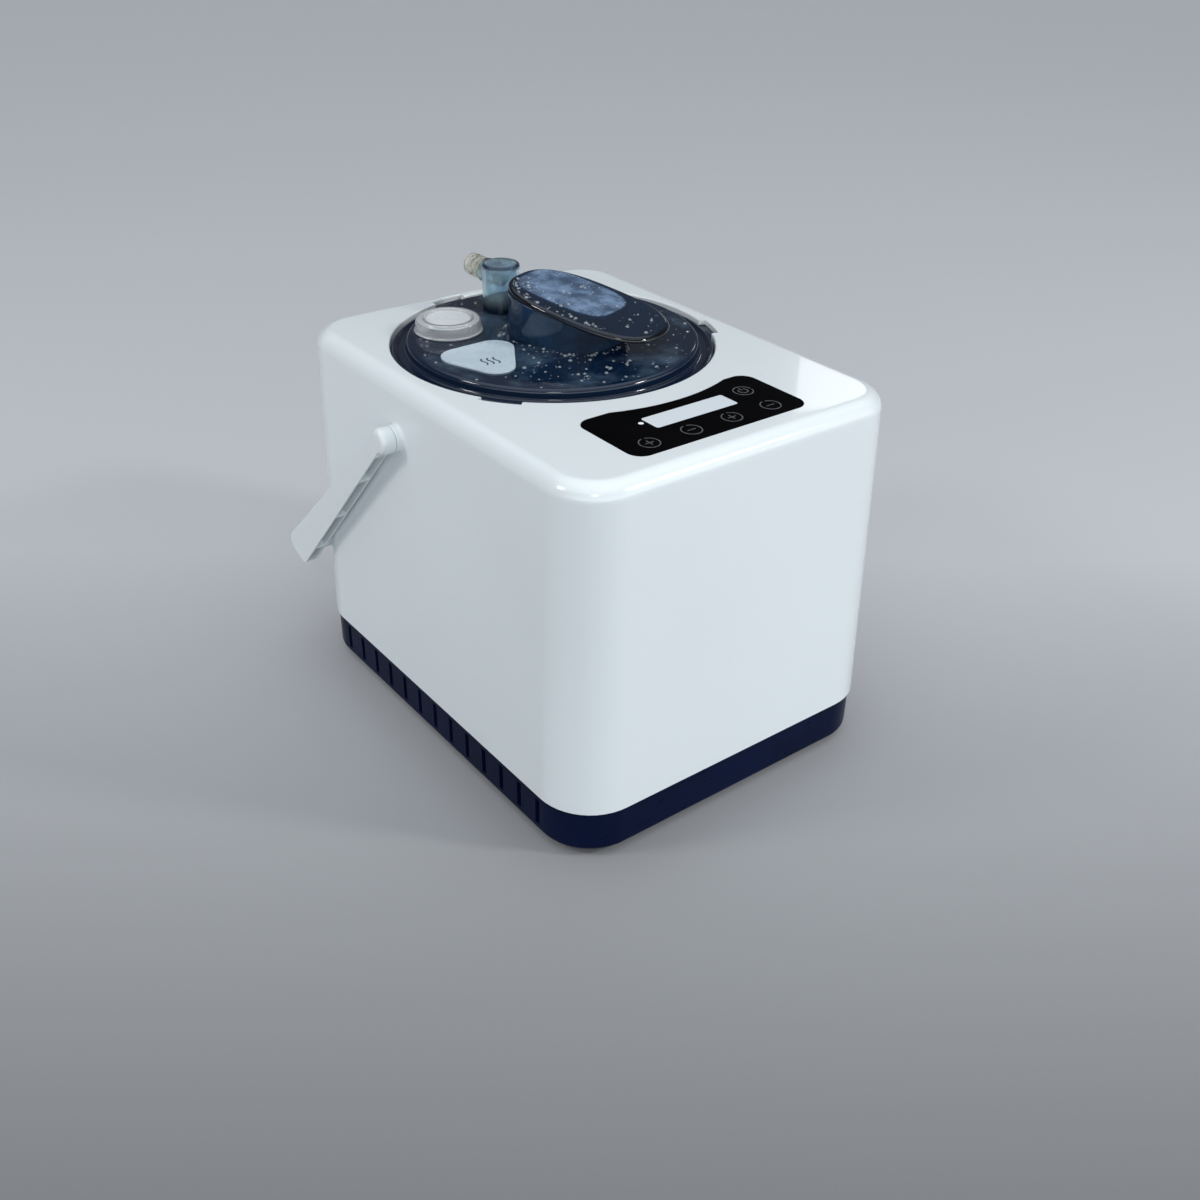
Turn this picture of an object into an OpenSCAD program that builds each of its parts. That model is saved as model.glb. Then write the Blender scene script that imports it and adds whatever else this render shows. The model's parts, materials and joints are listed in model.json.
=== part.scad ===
// Portable steam generator: a boiler in a white shell, with a bayonet lid, a swivelling steam
// outlet, a herb box, a screw fill cap, a touch panel and a bail handle.
// Millimetres. Z is up and 0 at the feet, X is 0 on the centre plane, the panel faces -Y,
// and the steam outlet points to +Y. The origin is the middle of the resting outline's base.

/* [Housing] */
// Width of the shell at its top edge
body_w = 205; // [203:1:209]
// Depth of the shell at its top edge, front to back
body_d = 268; // [264:1:276]
// Height of the white shell
shell_h = 182; // [178:1:190]
// How much wider the shell is on each side at its bottom edge
draft = 4.5; // [3:0.5:5]
// Radius of the upright corners
corner_r = 27; // [26:1:28]
// Radius of the top edge
edge_r = 9; // [7:1:10]
// Wall thickness of the shell
wall = 3; // [2.5:0.1:3.2]

/* [Base] */
// Height of the base tray
tray_h = 25; // [25:1:28]
// Height of the rubber feet
foot_h = 4; // [3:0.5:5]
// Radius of the rubber feet
foot_r = 10; // [8:1:11]
// Number of vent slots on each side
vent_count = 13; // [9:1:14]
// Spacing of the vent slots
vent_pitch = 17; // [16:0.5:17]
// Width of a vent slot
vent_w = 3.6; // [3:0.2:4.4]

/* [Lid] */
// Radius of the lid opening in the shell
opening_r = 89.5; // [89:0.1:90]
// Distance from the shell's middle back to the lid's axis
lid_back = 31; // [30:1:32]
// Radius of the lid's raised middle
plateau_r = 80.4; // [79:0.2:81]
// Height of the raised middle above the shell
plateau_rise = 2.6; // [2.4:0.1:3]
// How far the lid turns in its bayonet, in degrees
lid_turn = 10; // [8:1:12]

/* [Herb box] */
// Direction of the herb box's long axis, in degrees from +X
herb_angle = -69; // [-74:1:-66]
// Half length of the herb box cup
cup_long = 32; // [31:0.5:33]
// Half width of the herb box cup
cup_wide = 27; // [26:0.5:27]
// Half length of the cover, which overhangs the cup in front
cover_long = 45.5; // [44:0.5:46]
// Half width of the cover
cover_wide = 28.5; // [28:0.5:29]
// Height of the cover's top above the raised middle, at the back end
cover_back_h = 28; // [27:0.5:29]
// Height of the cover's top above the raised middle, at the front end
cover_front_h = 12; // [12:0.5:13]

/* [Steam outlet] */
// Radius of the outlet turret
turret_r = 10.8; // [10.5:0.1:11]
// Height of the turret's top above the shell
turret_h = 29.6; // [29:0.2:31]
// Distance from the lid's axis back to the turret
turret_back = 51; // [50:0.5:52]
// Outer radius of the hose barb
barb_r = 6.5; // [6.3:0.1:6.6]
// Distance from the turret's axis to the barb's end
barb_reach = 30; // [28:0.5:31]
// Bore radius of the barb
barb_bore_r = 4; // [3.5:0.1:4.2]

/* [Fill cap] */
// Radius of the fill cap
cap_r = 19; // [18.6:0.1:19.4]
// Height of the fill cap's top above the raised middle
cap_h = 7.9; // [7.8:0.1:8.4]
// Thread pitch of the fill cap
cap_pitch = 3; // [2.5:0.5:3]

/* [Handle] */
// Distance from the shell's middle back to the handle's pivots
pivot_back = 27; // [26:1:28]
// Height of the pivots above the shell's bottom edge
pivot_up = 151; // [150:1:152]
// Distance from the pivot to the middle of the grip
grip_reach = 163.5; // [163.5:0.5:165]
// Radius of the pivot pins
pin_r = 4; // [3.5:0.1:4.2]
// Slope of the arms at rest, in degrees below level
handle_slope = 45; // [44.5:0.5:45]

/* [Panel] */
// Width of the touch panel
panel_w = 110; // [108:1:112]
// How far the touch panel's front edge lies behind the shell's front
panel_margin = 17; // [16:1:18]
// Spacing of the touch icons
icon_pitch = 25.7; // [25:0.1:26]

/* [Hidden] */
$fn = 72;
seam_z = foot_h + tray_h;
top_z = seam_z + shell_h;
plateau_z = top_z + plateau_rise;
handle_off = 3.5;
grip_r = 7;
arm_end_r = 6;
hub_r = 7.4;
arm_root_r = 4;
arm_end_u = grip_reach + 1;
arm_end_v = 5.5;
pivot_z = seam_z + pivot_up;
rest_back_y = pivot_back + arm_end_u * cos(handle_slope) + arm_end_v * sin(handle_slope) + arm_end_r;
rest_front_y = -(body_d / 2 + draft);
frame_y = -(rest_back_y + rest_front_y) / 2;
corner_x = body_w / 2 - corner_r;
corner_y = body_d / 2 - corner_r;
gap = 0.3;
ledge_r = 80;
ledge_top = top_z - 18;
collar_r = 97;
collar_top_r = 93.2;
pot_r = 78;
pot_floor_z = 75;
flange_top = ledge_top + 2;
element_ring_r = 45;
element_r = 4;
element_gap = 40;
lug_angles = [-148, -28, 92];
lug_span = 12;
lug_r = 93.4;
lip_drop = 2.2;
arm_in_x = 107.2;
arm_out_x = 115.2;
arm_pockets = [[11, 41.2], [42.8, 90.2], [91.8, 139.2]];
boss_x = 106.7;
boss_r = 7.5;
herb_u = [cos(herb_angle), sin(herb_angle)];
herb_back = [-3.5, 58.3];
cup_mid = herb_back + herb_u * (cup_long + 0.5);
cover_mid = herb_back + herb_u * cover_long;
cover_tilt = atan((cover_back_h - cover_front_h) / (2 * cover_long));
cup_wall = 2;
cover_t = 3;
fill_at = [-44, 68.7];
neck_bore_r = 14;
neck_r = 16.5;
panel_front = -body_d / 2 + panel_margin;
panel_x = -3.5;
panel_deep = 48.7;
panel_r = 8;
display_y = panel_front + 27.7;
display_w = 52;
display_h = 13.4;
icon_y = panel_front + 10.3;
power_at = [38.5, panel_front + 31.5];
led_at = [-29, panel_front + 30];
icons = [for (i = [0:3]) [-39.7 + i * icon_pitch, icon_y]];
board_top = top_z - 11;
tray_screw_at = 16;
nozzle_z = top_z + 21.5;
gland_x = 60;
gland_z = foot_h + 12.5;
cord_r = 4.1;
oval_steps = 48;
power_mid_y = -body_d / 2 + 58;
power_top = foot_h + 11.6;

// ---------- helpers ----------
module placed() translate([0, frame_y, 0]) children();
module at_lid(z) placed() translate([0, lid_back, z]) children();

module tube(r_out, r_in, h) difference() {
    cylinder(r = r_out, h = h);
    translate([0, 0, -1]) cylinder(r = r_in, h = h + 2);
}

module ring_sector(r_in, r_out, h, start, span) rotate([0, 0, start])
    rotate_extrude(angle = span) translate([r_in, 0]) square([r_out - r_in, h]);

// Exact rounded rectangle, centred
module rounded_rect(w, d, r) union() {
    square([w - 2 * r, d], center = true);
    square([w, d - 2 * r], center = true);
    for (sx = [-1, 1], sy = [-1, 1]) translate([sx * (w / 2 - r), sy * (d / 2 - r)]) circle(r);
}

// Box with round upright corners that widens towards its bottom
module drafted_block(inset, z0, z1, round_r) hull() for (sx = [-1, 1], sy = [-1, 1])
    translate([sx * corner_x, sy * corner_y, 0]) {
        translate([0, 0, z1 - round_r]) rotate_extrude($fn = 32)
            translate([corner_r - inset - round_r, 0]) circle(round_r, $fn = 32);
        translate([0, 0, z0]) cylinder(r = corner_r - inset + draft, h = 1, $fn = 32);
    }

// Box with round upright corners and a bottom that pulls in
module tray_block(inset, z0, z1, pull) hull() for (sx = [-1, 1], sy = [-1, 1])
    translate([sx * corner_x, sy * corner_y, 0]) {
        translate([0, 0, z0]) cylinder(r = corner_r + 3 - inset - pull, h = 0.5, $fn = 32);
        translate([0, 0, z0 + pull]) cylinder(r = corner_r + 3 - inset, h = z1 - z0 - pull, $fn = 32);
    }

// Points of an oval with squarish sides
function power_of(x, e) = sign(x) * pow(abs(x), e);
function oval_points(a, b) = [for (i = [0:oval_steps - 1])
    [a * power_of(cos(i * 360 / oval_steps), 0.75), b * power_of(sin(i * 360 / oval_steps), 0.75)]];

module on_herb_axis(mid) placed() translate([mid[0], mid[1], plateau_z]) rotate([0, 0, herb_angle])
    children();

// Everything below the cover's sloping plane, lowered by drop, seen from a point along the axis
module under_slope(along, drop) translate([-along, 0, cover_back_h - drop]) rotate([0, cover_tilt, 0])
    translate([-40, -60, -120]) cube([220, 120, 120]);

module screw(head_r, head_h, shank_r, shank_h) union() {
    cylinder(r = head_r, h = head_h);
    translate([0, 0, head_h - 0.5]) cylinder(r = shank_r, h = shank_h + 0.5);
}

module wire_run(points, r) union() {
    for (i = [0:len(points) - 2]) {
        step = points[i + 1] - points[i];
        run = norm(step);
        translate(points[i]) rotate([0, acos(step[2] / run), atan2(step[1], step[0])])
            cylinder(r = r, h = run, $fn = 16);
    }
    for (i = [1:len(points) - 2]) translate(points[i]) sphere(r = r * 1.08, $fn = 16);
}

// ---------- shell and base ----------
module handle_axis(side, from_x) placed() translate([side * from_x, pivot_back, pivot_z])
    rotate([0, side * 90, 0]) children();

module tray_screw_spots() placed() for (sx = [-1, 1], sy = [-1, 1])
    translate([sx * (corner_x + tray_screw_at), sy * (corner_y + tray_screw_at), 0]) children();

module control_posts() placed() for (sx = [-1, 1], y = [panel_front + 6, panel_front + 34])
    translate([panel_x + sx * 53, y, 0]) children();

module panel_outline(grow) difference() {
    translate([panel_x, panel_front + panel_deep / 2])
        rounded_rect(panel_w + 2 * grow, panel_deep + 2 * grow, panel_r + grow);
    translate([0, lid_back]) circle(opening_r + 16.5 - grow);
}

// Room for the lid's lugs, as wide as a span
module lug_room(z0, z1, span) for (a = lug_angles) at_lid(z0)
    ring_sector(opening_r - 2, lug_r + 1, z1 - z0, a - 1, span + 2);

module outer_housing() color("ghostwhite") difference() {
    union() {
        difference() {
            placed() drafted_block(0, seam_z, top_z, edge_r);
            placed() drafted_block(wall, seam_z - 1, top_z - wall, edge_r - wall);
        }
        for (side = [-1, 1]) handle_axis(side, 96) cylinder(r = boss_r, h = boss_x - 96);
        tray_screw_spots() translate([0, 0, seam_z]) cylinder(r = 6, h = 40);
        control_posts() translate([0, 0, board_top]) cylinder(r = 3, h = top_z - board_top - 2);
    }
    at_lid(ledge_top) cylinder(r = opening_r, h = 30);
    lug_room(top_z - wall - 1, top_z + 2, lug_span);
    for (side = [-1, 1]) handle_axis(side, 90) cylinder(r = pin_r + 0.06, h = 20);
    tray_screw_spots() translate([0, 0, seam_z - 1]) cylinder(r = 1.6, h = 25);
    control_posts() translate([0, 0, board_top - 1]) cylinder(r = 1.2, h = 7);
    placed() translate([0, 0, top_z - 0.5]) linear_extrude(2) panel_outline(0.2);
    placed() translate([panel_x, display_y, top_z - 5]) linear_extrude(10)
        rounded_rect(display_w + 1, display_h + 1, 1.5);
    placed() translate([panel_x + led_at[0], led_at[1], top_z - 5]) cylinder(r = 2, h = 10);
}

// Ring welded under the shell's top, which carries the pot and guides the lid
module pot_ring() color("gainsboro") difference() {
    union() {
        at_lid(ledge_top - 4) cylinder(r = collar_r, h = top_z - 5 - ledge_top + 4);
        at_lid(ledge_top) cylinder(r = collar_top_r, h = top_z - wall - ledge_top);
    }
    at_lid(ledge_top) cylinder(r = opening_r, h = 30);
    at_lid(ledge_top - 10) cylinder(r = ledge_r, h = 30);
    lug_room(top_z - 7, top_z, lug_span + lid_turn);
}

module base_tray() color("midnightblue") difference() {
    union() {
        difference() {
            placed() tray_block(0, foot_h, seam_z, 3);
            placed() tray_block(2.5, foot_h + 2.5, seam_z + 1, 3);
        }
        tray_screw_spots() translate([0, 0, foot_h + 1]) cylinder(r = 6, h = tray_h - 1);
        power_posts() translate([0, 0, foot_h + 2]) cylinder(r = 3.5, h = 8);
    }
    placed() for (side = [-1, 1], i = [0:vent_count - 1])
        translate([side * (body_w / 2 + 2), (i - (vent_count - 1) / 2) * vent_pitch, foot_h + 13])
            cube([12, vent_w, 16], center = true);
    tray_screw_spots() cylinder(r = 2.2, h = seam_z + 1);
    tray_screw_spots() translate([0, 0, foot_h - 1]) cylinder(r = 4.6, h = 5);
    power_posts() translate([0, 0, foot_h + 5]) cylinder(r = 1.2, h = 10);
    placed() translate([gland_x, body_d / 2 - 10, gland_z]) rotate([-90, 0, 0]) cylinder(r = 6.1, h = 20);
}

module rubber_feet() color("dimgray") placed() for (sx = [-1, 1], sy = [-1, 1])
    translate([sx * (body_w / 2 - 24), sy * (body_d / 2 - 26), 0]) cylinder(r = foot_r, h = foot_h);

module base_screws() color("silver") tray_screw_spots() translate([0, 0, foot_h + 1])
    screw(4, 3, 1.5, tray_h + 6);

// ---------- boiler ----------
module element_spots() at_lid(0) for (a = [element_gap / 2, -element_gap / 2]) rotate([0, 0, a - 90])
    translate([element_ring_r, 0, 0]) children();

module level_spot() at_lid(0) translate([0, 60, 0]) children();

module steam_pot() color("silver") difference() {
    union() {
        at_lid(pot_floor_z) cylinder(r = pot_r, h = flange_top - pot_floor_z);
        at_lid(flange_top - 1) cylinder(r = 88.4, h = 1);
    }
    at_lid(pot_floor_z + 1.2) cylinder(r = pot_r - 1, h = 200);
    element_spots() translate([0, 0, pot_floor_z - 1]) cylinder(r = element_r + 0.1, h = 4);
    level_spot() translate([0, 0, pot_floor_z - 1]) cylinder(r = 3.1, h = 4);
}

module pot_seal() color("gray") at_lid(ledge_top) tube(88, ledge_r + 0.5, 1);

module insulation_sleeve() color("khaki") at_lid(pot_floor_z + 3)
    tube(pot_r + 5, pot_r + 0.6, ledge_top - 12 - pot_floor_z);

module heating_element() color("darkgray") union() {
    at_lid(pot_floor_z + 14) rotate([0, 0, element_gap / 2 - 90])
        rotate_extrude(angle = 360 - element_gap) translate([element_ring_r, 0]) circle(element_r);
    element_spots() translate([0, 0, pot_floor_z - 16]) cylinder(r = element_r, h = 30);
    element_spots() translate([0, 0, pot_floor_z + 14]) sphere(r = element_r * 1.04);
    element_spots() translate([0, 0, pot_floor_z - 24]) cylinder(r = 1.5, h = 10);
}

module element_seals() color("firebrick") element_spots() translate([0, 0, pot_floor_z + 1.2])
    tube(7.5, element_r + 0.1, 2);

module element_nuts() color("goldenrod") element_spots() translate([0, 0, pot_floor_z - 8])
    difference() {
        cylinder(r = 9, h = 8, $fn = 6);
        translate([0, 0, -1]) cylinder(r = element_r + 0.1, h = 10);
    }

module thermal_cutout() color("black") at_lid(0) translate([-30, 20, pot_floor_z - 9]) union() {
    cylinder(r = 8, h = 9);
    for (s = [-1, 1]) translate([s * 4, 0, -6]) cube([0.8, 5, 14], center = true);
    translate([0, 0, 8.2]) cube([28, 8, 1.4], center = true);
}

module temperature_probe() color("tan") at_lid(0) translate([32, 18, pot_floor_z - 20]) union() {
    cylinder(r = 3, h = 20);
    translate([0, 0, 14]) cylinder(r = 5, h = 3, $fn = 6);
}

module level_probe() color("lightgray") level_spot() union() {
    translate([0, 0, pot_floor_z - 12]) cylinder(r = 1.5, h = 46);
    translate([0, 0, pot_floor_z - 6]) cylinder(r = 3, h = 12);
    translate([0, 0, pot_floor_z - 6]) cylinder(r = 6, h = 5.9, $fn = 6);
}

// ---------- electrics ----------
module on_power_board(x, y) placed() translate([x, power_mid_y + y, power_top]) children();
module power_posts() placed() for (sx = [-1, 1], sy = [-1, 1])
    translate([sx * 62, power_mid_y + sy * 32, 0]) children();

module power_board() color("darkgreen") difference() {
    placed() translate([0, power_mid_y, power_top - 0.8]) cube([136, 76, 1.6], center = true);
    power_posts() translate([0, 0, power_top - 4]) cylinder(r = 1.8, h = 8);
}

module power_relay() color("royalblue") on_power_board(-45, 14) translate([-10, -8, 0]) cube([20, 16, 16]);

module transformer() color("gold") on_power_board(-6, 10) union() {
    translate([-17, -14, 0]) cube([34, 28, 20]);
    translate([-11, -18, 3]) cube([22, 36, 14]);
}

module terminal_block() color("seagreen") difference() {
    on_power_board(8, -28) translate([-30, -5, 0]) cube([60, 10, 13]);
    for (i = [0:5]) on_power_board(-17 + i * 10, -28) translate([0, 0, 8]) cylinder(r = 3, h = 6);
}

module heat_sink() color("lightsteelblue") on_power_board(46, 10) union() {
    translate([-12, -16, 0]) cube([24, 32, 3]);
    for (i = [0:5]) translate([-12 + i * 4.4, -16, 2]) cube([1.6, 32, 18]);
}

module power_board_screws() color("silver") power_posts() translate([0, 0, power_top + 2])
    mirror([0, 0, 1]) screw(3, 2, 1.1, 6);

module control_board() color("darkgreen") difference() {
    placed() translate([panel_x - 57, panel_front + 1, board_top - 1.6]) cube([114, 38, 1.6]);
    control_posts() translate([0, 0, board_top - 3]) cylinder(r = 1.6, h = 5);
}

module control_board_screws() color("silver") control_posts() translate([0, 0, board_top - 3.6])
    screw(2.8, 2, 1.1, 5);

module display_module() color("dimgray") placed() translate([panel_x, display_y, board_top])
    translate([-display_w / 2 - 0.8, -8, 0]) cube([display_w + 1.6, 15, 7.6]);

module touch_springs() color("orange") placed() for (p = concat(icons, [power_at]))
    translate([panel_x + p[0], p[1], board_top]) tube(4, 3, top_z - wall - board_top);

module buzzer() color("black") placed() translate([panel_x + 30, panel_front + 20, board_top - 10.6])
    difference() {
        cylinder(r = 6, h = 9);
        translate([0, 0, -1]) cylinder(r = 1, h = 4);
    }

module control_panel() color("black") difference() {
    placed() translate([0, 0, top_z - 0.5]) linear_extrude(0.8) panel_outline(0);
    placed() translate([panel_x, display_y, top_z - 2]) linear_extrude(5)
        rounded_rect(display_w, display_h, 1.5);
    placed() translate([panel_x + led_at[0], led_at[1], top_z - 2]) cylinder(r = 1.5, h = 5);
}

module display_window() color("lightcyan") placed() translate([panel_x, display_y, top_z - 2.6])
    linear_extrude(2.8) rounded_rect(display_w - 0.2, display_h - 0.2, 1.4);

module indicator_lens() color("white") placed() translate([panel_x + led_at[0], led_at[1], board_top])
    cylinder(r = 1.4, h = top_z + 0.2 - board_top);

module cord_gland() color("dimgray") difference() {
    placed() translate([gland_x, body_d / 2 - 9, gland_z]) rotate([-90, 0, 0]) union() {
        cylinder(r = 6, h = 14);
        translate([0, 0, 12]) cylinder(r = 9, h = 5);
    }
    placed() translate([gland_x, body_d / 2 - 15, gland_z]) rotate([-90, 0, 0]) cylinder(r = cord_r, h = 30);
}

module gland_nut() color("slategray") placed() translate([gland_x, body_d / 2 - 5, gland_z])
    rotate([-90, 0, 0]) difference() {
        cylinder(r = 8.4, h = 5, $fn = 6);
        translate([0, 0, -1]) cylinder(r = 6.05, h = 8);
    }

module wiring_harness() color("crimson") placed() {
    wire_run([[-40, power_mid_y + 14, power_top + 16], [-40, power_mid_y + 14, 46],
        [-15.4, lid_back - 42.3, 46], [-15.4, lid_back - 42.3, pot_floor_z - 24]], 1.3);
    wire_run([[46, power_mid_y + 10, power_top + 20], [46, power_mid_y + 10, 46],
        [15.4, lid_back - 42.3, 46], [15.4, lid_back - 42.3, pot_floor_z - 24]], 1.3);
    wire_run([[60, power_mid_y - 26, power_top], [60, power_mid_y - 26, 40],
        [60, panel_front + 10, 60], [40, panel_front + 12, board_top - 3]], 2);
}

module earth_lead() color("yellowgreen") placed()
    wire_run([[gland_x, body_d / 2 - 12, gland_z], [gland_x, lid_back + 50, 30],
        [30, lid_back + 40, 60], [30, lid_back + 40, pot_floor_z]], 1.3);

// ---------- handle ----------
module handle_frame() placed() translate([0, pivot_back, pivot_z]) rotate([-handle_slope, 0, 0]) children();

// Side outline of an arm: first coordinate along the arm, second across it
module arm_outline() union() {
    circle(hub_r);
    hull() {
        circle(arm_root_r, $fn = 32);
        translate([arm_end_u, arm_end_v]) circle(arm_end_r, $fn = 32);
        translate([arm_end_u - 3.5, -4.5]) circle(5, $fn = 32);
    }
}

// Turns an outline drawn along and across the arm into a plate between two X positions
module arm_plate(x0, x1) translate([x0, 0, 0]) rotate([90, 0, 90]) linear_extrude(x1 - x0) children();

module arm_channel() {
    for (p = arm_pockets) translate([p[0], -16]) square([p[1] - p[0], 19]);
    polygon([[140.8, 3], [140.8, -16], [161, -16], [166.6, 3]]);
}

module handle() color("whitesmoke") difference() {
    union() {
        for (side = [0, 1]) mirror([side, 0, 0]) {
            difference() {
                handle_frame() arm_plate(arm_in_x, arm_out_x) arm_outline();
                handle_frame() arm_plate(arm_in_x + 1.2, arm_out_x - 1.2) arm_channel();
            }
            handle_axis(1, 97) cylinder(r = pin_r, h = 14);
        }
        handle_frame() translate([-arm_in_x - 4, grip_reach, handle_off]) rotate([0, 90, 0])
            cylinder(r = grip_r, h = 2 * arm_in_x + 8);
    }
    for (side = [0, 1]) mirror([side, 0, 0]) handle_axis(1, 90) cylinder(r = 1.7, h = 19);
}

module handle_washers() color("silver") for (side = [-1, 1]) handle_axis(side, 94.5)
    tube(8, 2.2, 1.2);

module handle_screws() color("silver") for (side = [-1, 1]) handle_axis(side, 92)
    screw(3.8, 2.5, 1.6, 11);

// ---------- lid ----------
module turret_spot(z) at_lid(z) translate([0, turret_back, 0]) children();
module fill_spot(z) placed() translate([fill_at[0], fill_at[1], z]) children();

module lid_gasket() color("gray") at_lid(flange_top + gap) tube(85.5, 81.5, 3.5);

module herb_holes(z, h, r) on_herb_axis(cup_mid) for (i = [-1:1], j = [-1:1])
    translate([i * 14, j * 12, z]) cylinder(r = r, h = h);

module lid() color("navy") difference() {
    union() {
        at_lid(plateau_z - 2.5) cylinder(r = plateau_r, h = 2.5);
        at_lid(top_z - 4) tube(plateau_r, plateau_r - 2.5, plateau_rise + 3);
        at_lid(top_z - 5) tube(opening_r - 0.9, plateau_r - 2.5, 1.4);
        at_lid(top_z - 5) tube(opening_r - 0.9, opening_r - 3.4, 5 - lip_drop);
        at_lid(flange_top + gap + 3.8) tube(86.5, plateau_r, top_z - 4 - flange_top - gap - 3.8);
        for (a = lug_angles) at_lid(top_z - 5)
            ring_sector(opening_r - 2.5, lug_r, 5 - wall - gap, a, lug_span);
        fill_spot(plateau_z - 1) cylinder(r = neck_r, h = 6.2);
    }
    fill_spot(top_z - 10) cylinder(r = neck_bore_r, h = 30);
    turret_spot(top_z - 10) cylinder(r = 8, h = 30);
    on_herb_axis(cup_mid) translate([0, 0, -5]) cylinder(r = 19, h = 10);
}

module herb_box() color("midnightblue") difference() {
    on_herb_axis(cup_mid) intersection() {
        difference() {
            linear_extrude(40) polygon(oval_points(cup_long, cup_wide));
            translate([0, 0, -1]) linear_extrude(42)
                polygon(oval_points(cup_long - cup_wall, cup_wide - cup_wall));
        }
        under_slope(cup_long + 0.5, cover_t + gap);
    }
}

module herb_strainer() color("silver") difference() {
    on_herb_axis(cup_mid) linear_extrude(0.8)
        polygon(oval_points(cup_long - cup_wall - 0.4, cup_wide - cup_wall - 0.4));
    herb_holes(-1, 4, 2);
}

module label_plate() color("white") placed() translate([0, 0, plateau_z]) linear_extrude(0.8) hull() {
    translate([-59.3, 29.6]) circle(11.5, $fn = 32);
    translate([-38.7, 30.9]) circle(10.7, $fn = 32);
    translate([-52.4, 8.5]) circle(10.3, $fn = 32);
}

module herb_cover() color("midnightblue") union() {
    on_herb_axis(cover_mid) difference() {
        intersection() {
            translate([0, 0, 1]) linear_extrude(40) polygon(oval_points(cover_long, cover_wide));
            under_slope(cover_long, 0);
        }
        under_slope(cover_long, cover_t);
    }
    on_herb_axis(cup_mid) difference() {
        intersection() {
            linear_extrude(40)
                polygon(oval_points(cup_long - cup_wall - 0.5, cup_wide - cup_wall - 0.5));
            under_slope(cup_long + 0.5, cover_t - 0.5);
        }
        under_slope(cup_long + 0.5, cover_t + 3.5);
        translate([0, 0, -1]) linear_extrude(42)
            polygon(oval_points(cup_long - cup_wall - 2.5, cup_wide - cup_wall - 2.5));
    }
}

module nozzle_axis() turret_spot(nozzle_z) rotate([-90, 0, 0]) children();

module steam_outlet() color("steelblue") difference() {
    union() {
        turret_spot(plateau_z + gap) cylinder(r = turret_r, h = turret_h - plateau_rise - gap);
        turret_spot(top_z - 9) cylinder(r = 7.2, h = 16);
        nozzle_axis() cylinder(r = 7.2, h = turret_r + 3.5);
    }
    turret_spot(top_z - 10) cylinder(r = 5.6, h = 20);
    turret_spot(plateau_z + gap + 2) cylinder(r = turret_r - 2, h = turret_h - plateau_rise - gap - 4);
    nozzle_axis() cylinder(r = 5.6, h = turret_r + 10);
    turret_spot(top_z - 7.5) tube(9, 6.2, 1.2);
}

module outlet_nozzle() color("lightyellow") nozzle_axis() difference() {
    union() {
        translate([0, 0, turret_r - 1]) cylinder(r = 5.55, h = 5);
        translate([0, 0, turret_r + 3.5]) cylinder(r = barb_r, h = barb_reach - turret_r - 3.5);
    }
    translate([0, 0, turret_r - 2]) cylinder(r = barb_bore_r, h = barb_reach);
    for (i = [0:2]) translate([0, 0, turret_r + 6.5 + i * 4.2]) tube(barb_r + 1, barb_r - 0.7, 1.2);
}

module outlet_oring() color("black") turret_spot(top_z - 0.6) tube(7.7, 7.25, 1.4);

module outlet_clip() color("silver") turret_spot(top_z - 7.4) difference() {
    tube(10.5, 6.3, 1);
    translate([0, 8, 0]) cube([5, 12, 6], center = true);
}

module fill_cap() color("aliceblue") difference() {
    fill_spot(plateau_z + gap) cylinder(r = cap_r, h = cap_h - gap);
    fill_spot(plateau_z - 1) cylinder(r = neck_r + gap, h = cap_h - 1);
    fill_spot(plateau_z + cap_h - 0.8) cylinder(r = 13, h = 2);
}

module fill_cap_gasket() color("whitesmoke") fill_spot(plateau_z + 5.5) tube(16, neck_bore_r + 0.4, 0.4);

outer_housing();
pot_ring();
base_tray();
rubber_feet();
base_screws();
steam_pot();
pot_seal();
insulation_sleeve();
heating_element();
element_seals();
element_nuts();
thermal_cutout();
temperature_probe();
level_probe();
power_board();
power_relay();
transformer();
terminal_block();
heat_sink();
power_board_screws();
control_board();
control_board_screws();
display_module();
touch_springs();
buzzer();
control_panel();
display_window();
indicator_lens();
cord_gland();
gland_nut();
wiring_harness();
earth_lead();
handle();
handle_washers();
handle_screws();
lid_gasket();
lid();
herb_box();
herb_strainer();
label_plate();
herb_cover();
steam_outlet();
outlet_nozzle();
outlet_oring();
outlet_clip();
fill_cap();
fill_cap_gasket();
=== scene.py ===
"""Looks of the portable steam generator: smooth shells, a see-through lid with its fittings, the
touch panel and the bail handle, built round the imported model. Lengths are in metres."""

import json
import math
import random

import bmesh
import bpy
from mathutils import Matrix, Vector
from mathutils.geometry import convex_hull_2d


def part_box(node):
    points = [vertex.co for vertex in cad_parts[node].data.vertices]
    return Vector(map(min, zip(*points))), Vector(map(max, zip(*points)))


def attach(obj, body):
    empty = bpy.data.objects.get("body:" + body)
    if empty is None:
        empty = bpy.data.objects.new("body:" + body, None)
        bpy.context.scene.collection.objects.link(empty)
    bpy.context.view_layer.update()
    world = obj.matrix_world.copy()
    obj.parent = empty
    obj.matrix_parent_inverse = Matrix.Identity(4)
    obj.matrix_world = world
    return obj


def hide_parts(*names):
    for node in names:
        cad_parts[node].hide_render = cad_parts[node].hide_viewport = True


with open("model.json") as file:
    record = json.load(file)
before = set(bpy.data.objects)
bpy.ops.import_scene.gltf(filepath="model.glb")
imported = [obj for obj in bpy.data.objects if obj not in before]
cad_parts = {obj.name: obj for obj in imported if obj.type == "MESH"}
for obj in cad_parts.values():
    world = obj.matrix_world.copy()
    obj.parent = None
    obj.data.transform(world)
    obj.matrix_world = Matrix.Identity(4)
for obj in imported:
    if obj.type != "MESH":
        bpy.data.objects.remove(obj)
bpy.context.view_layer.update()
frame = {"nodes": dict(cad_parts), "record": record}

MM = 0.001
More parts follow.
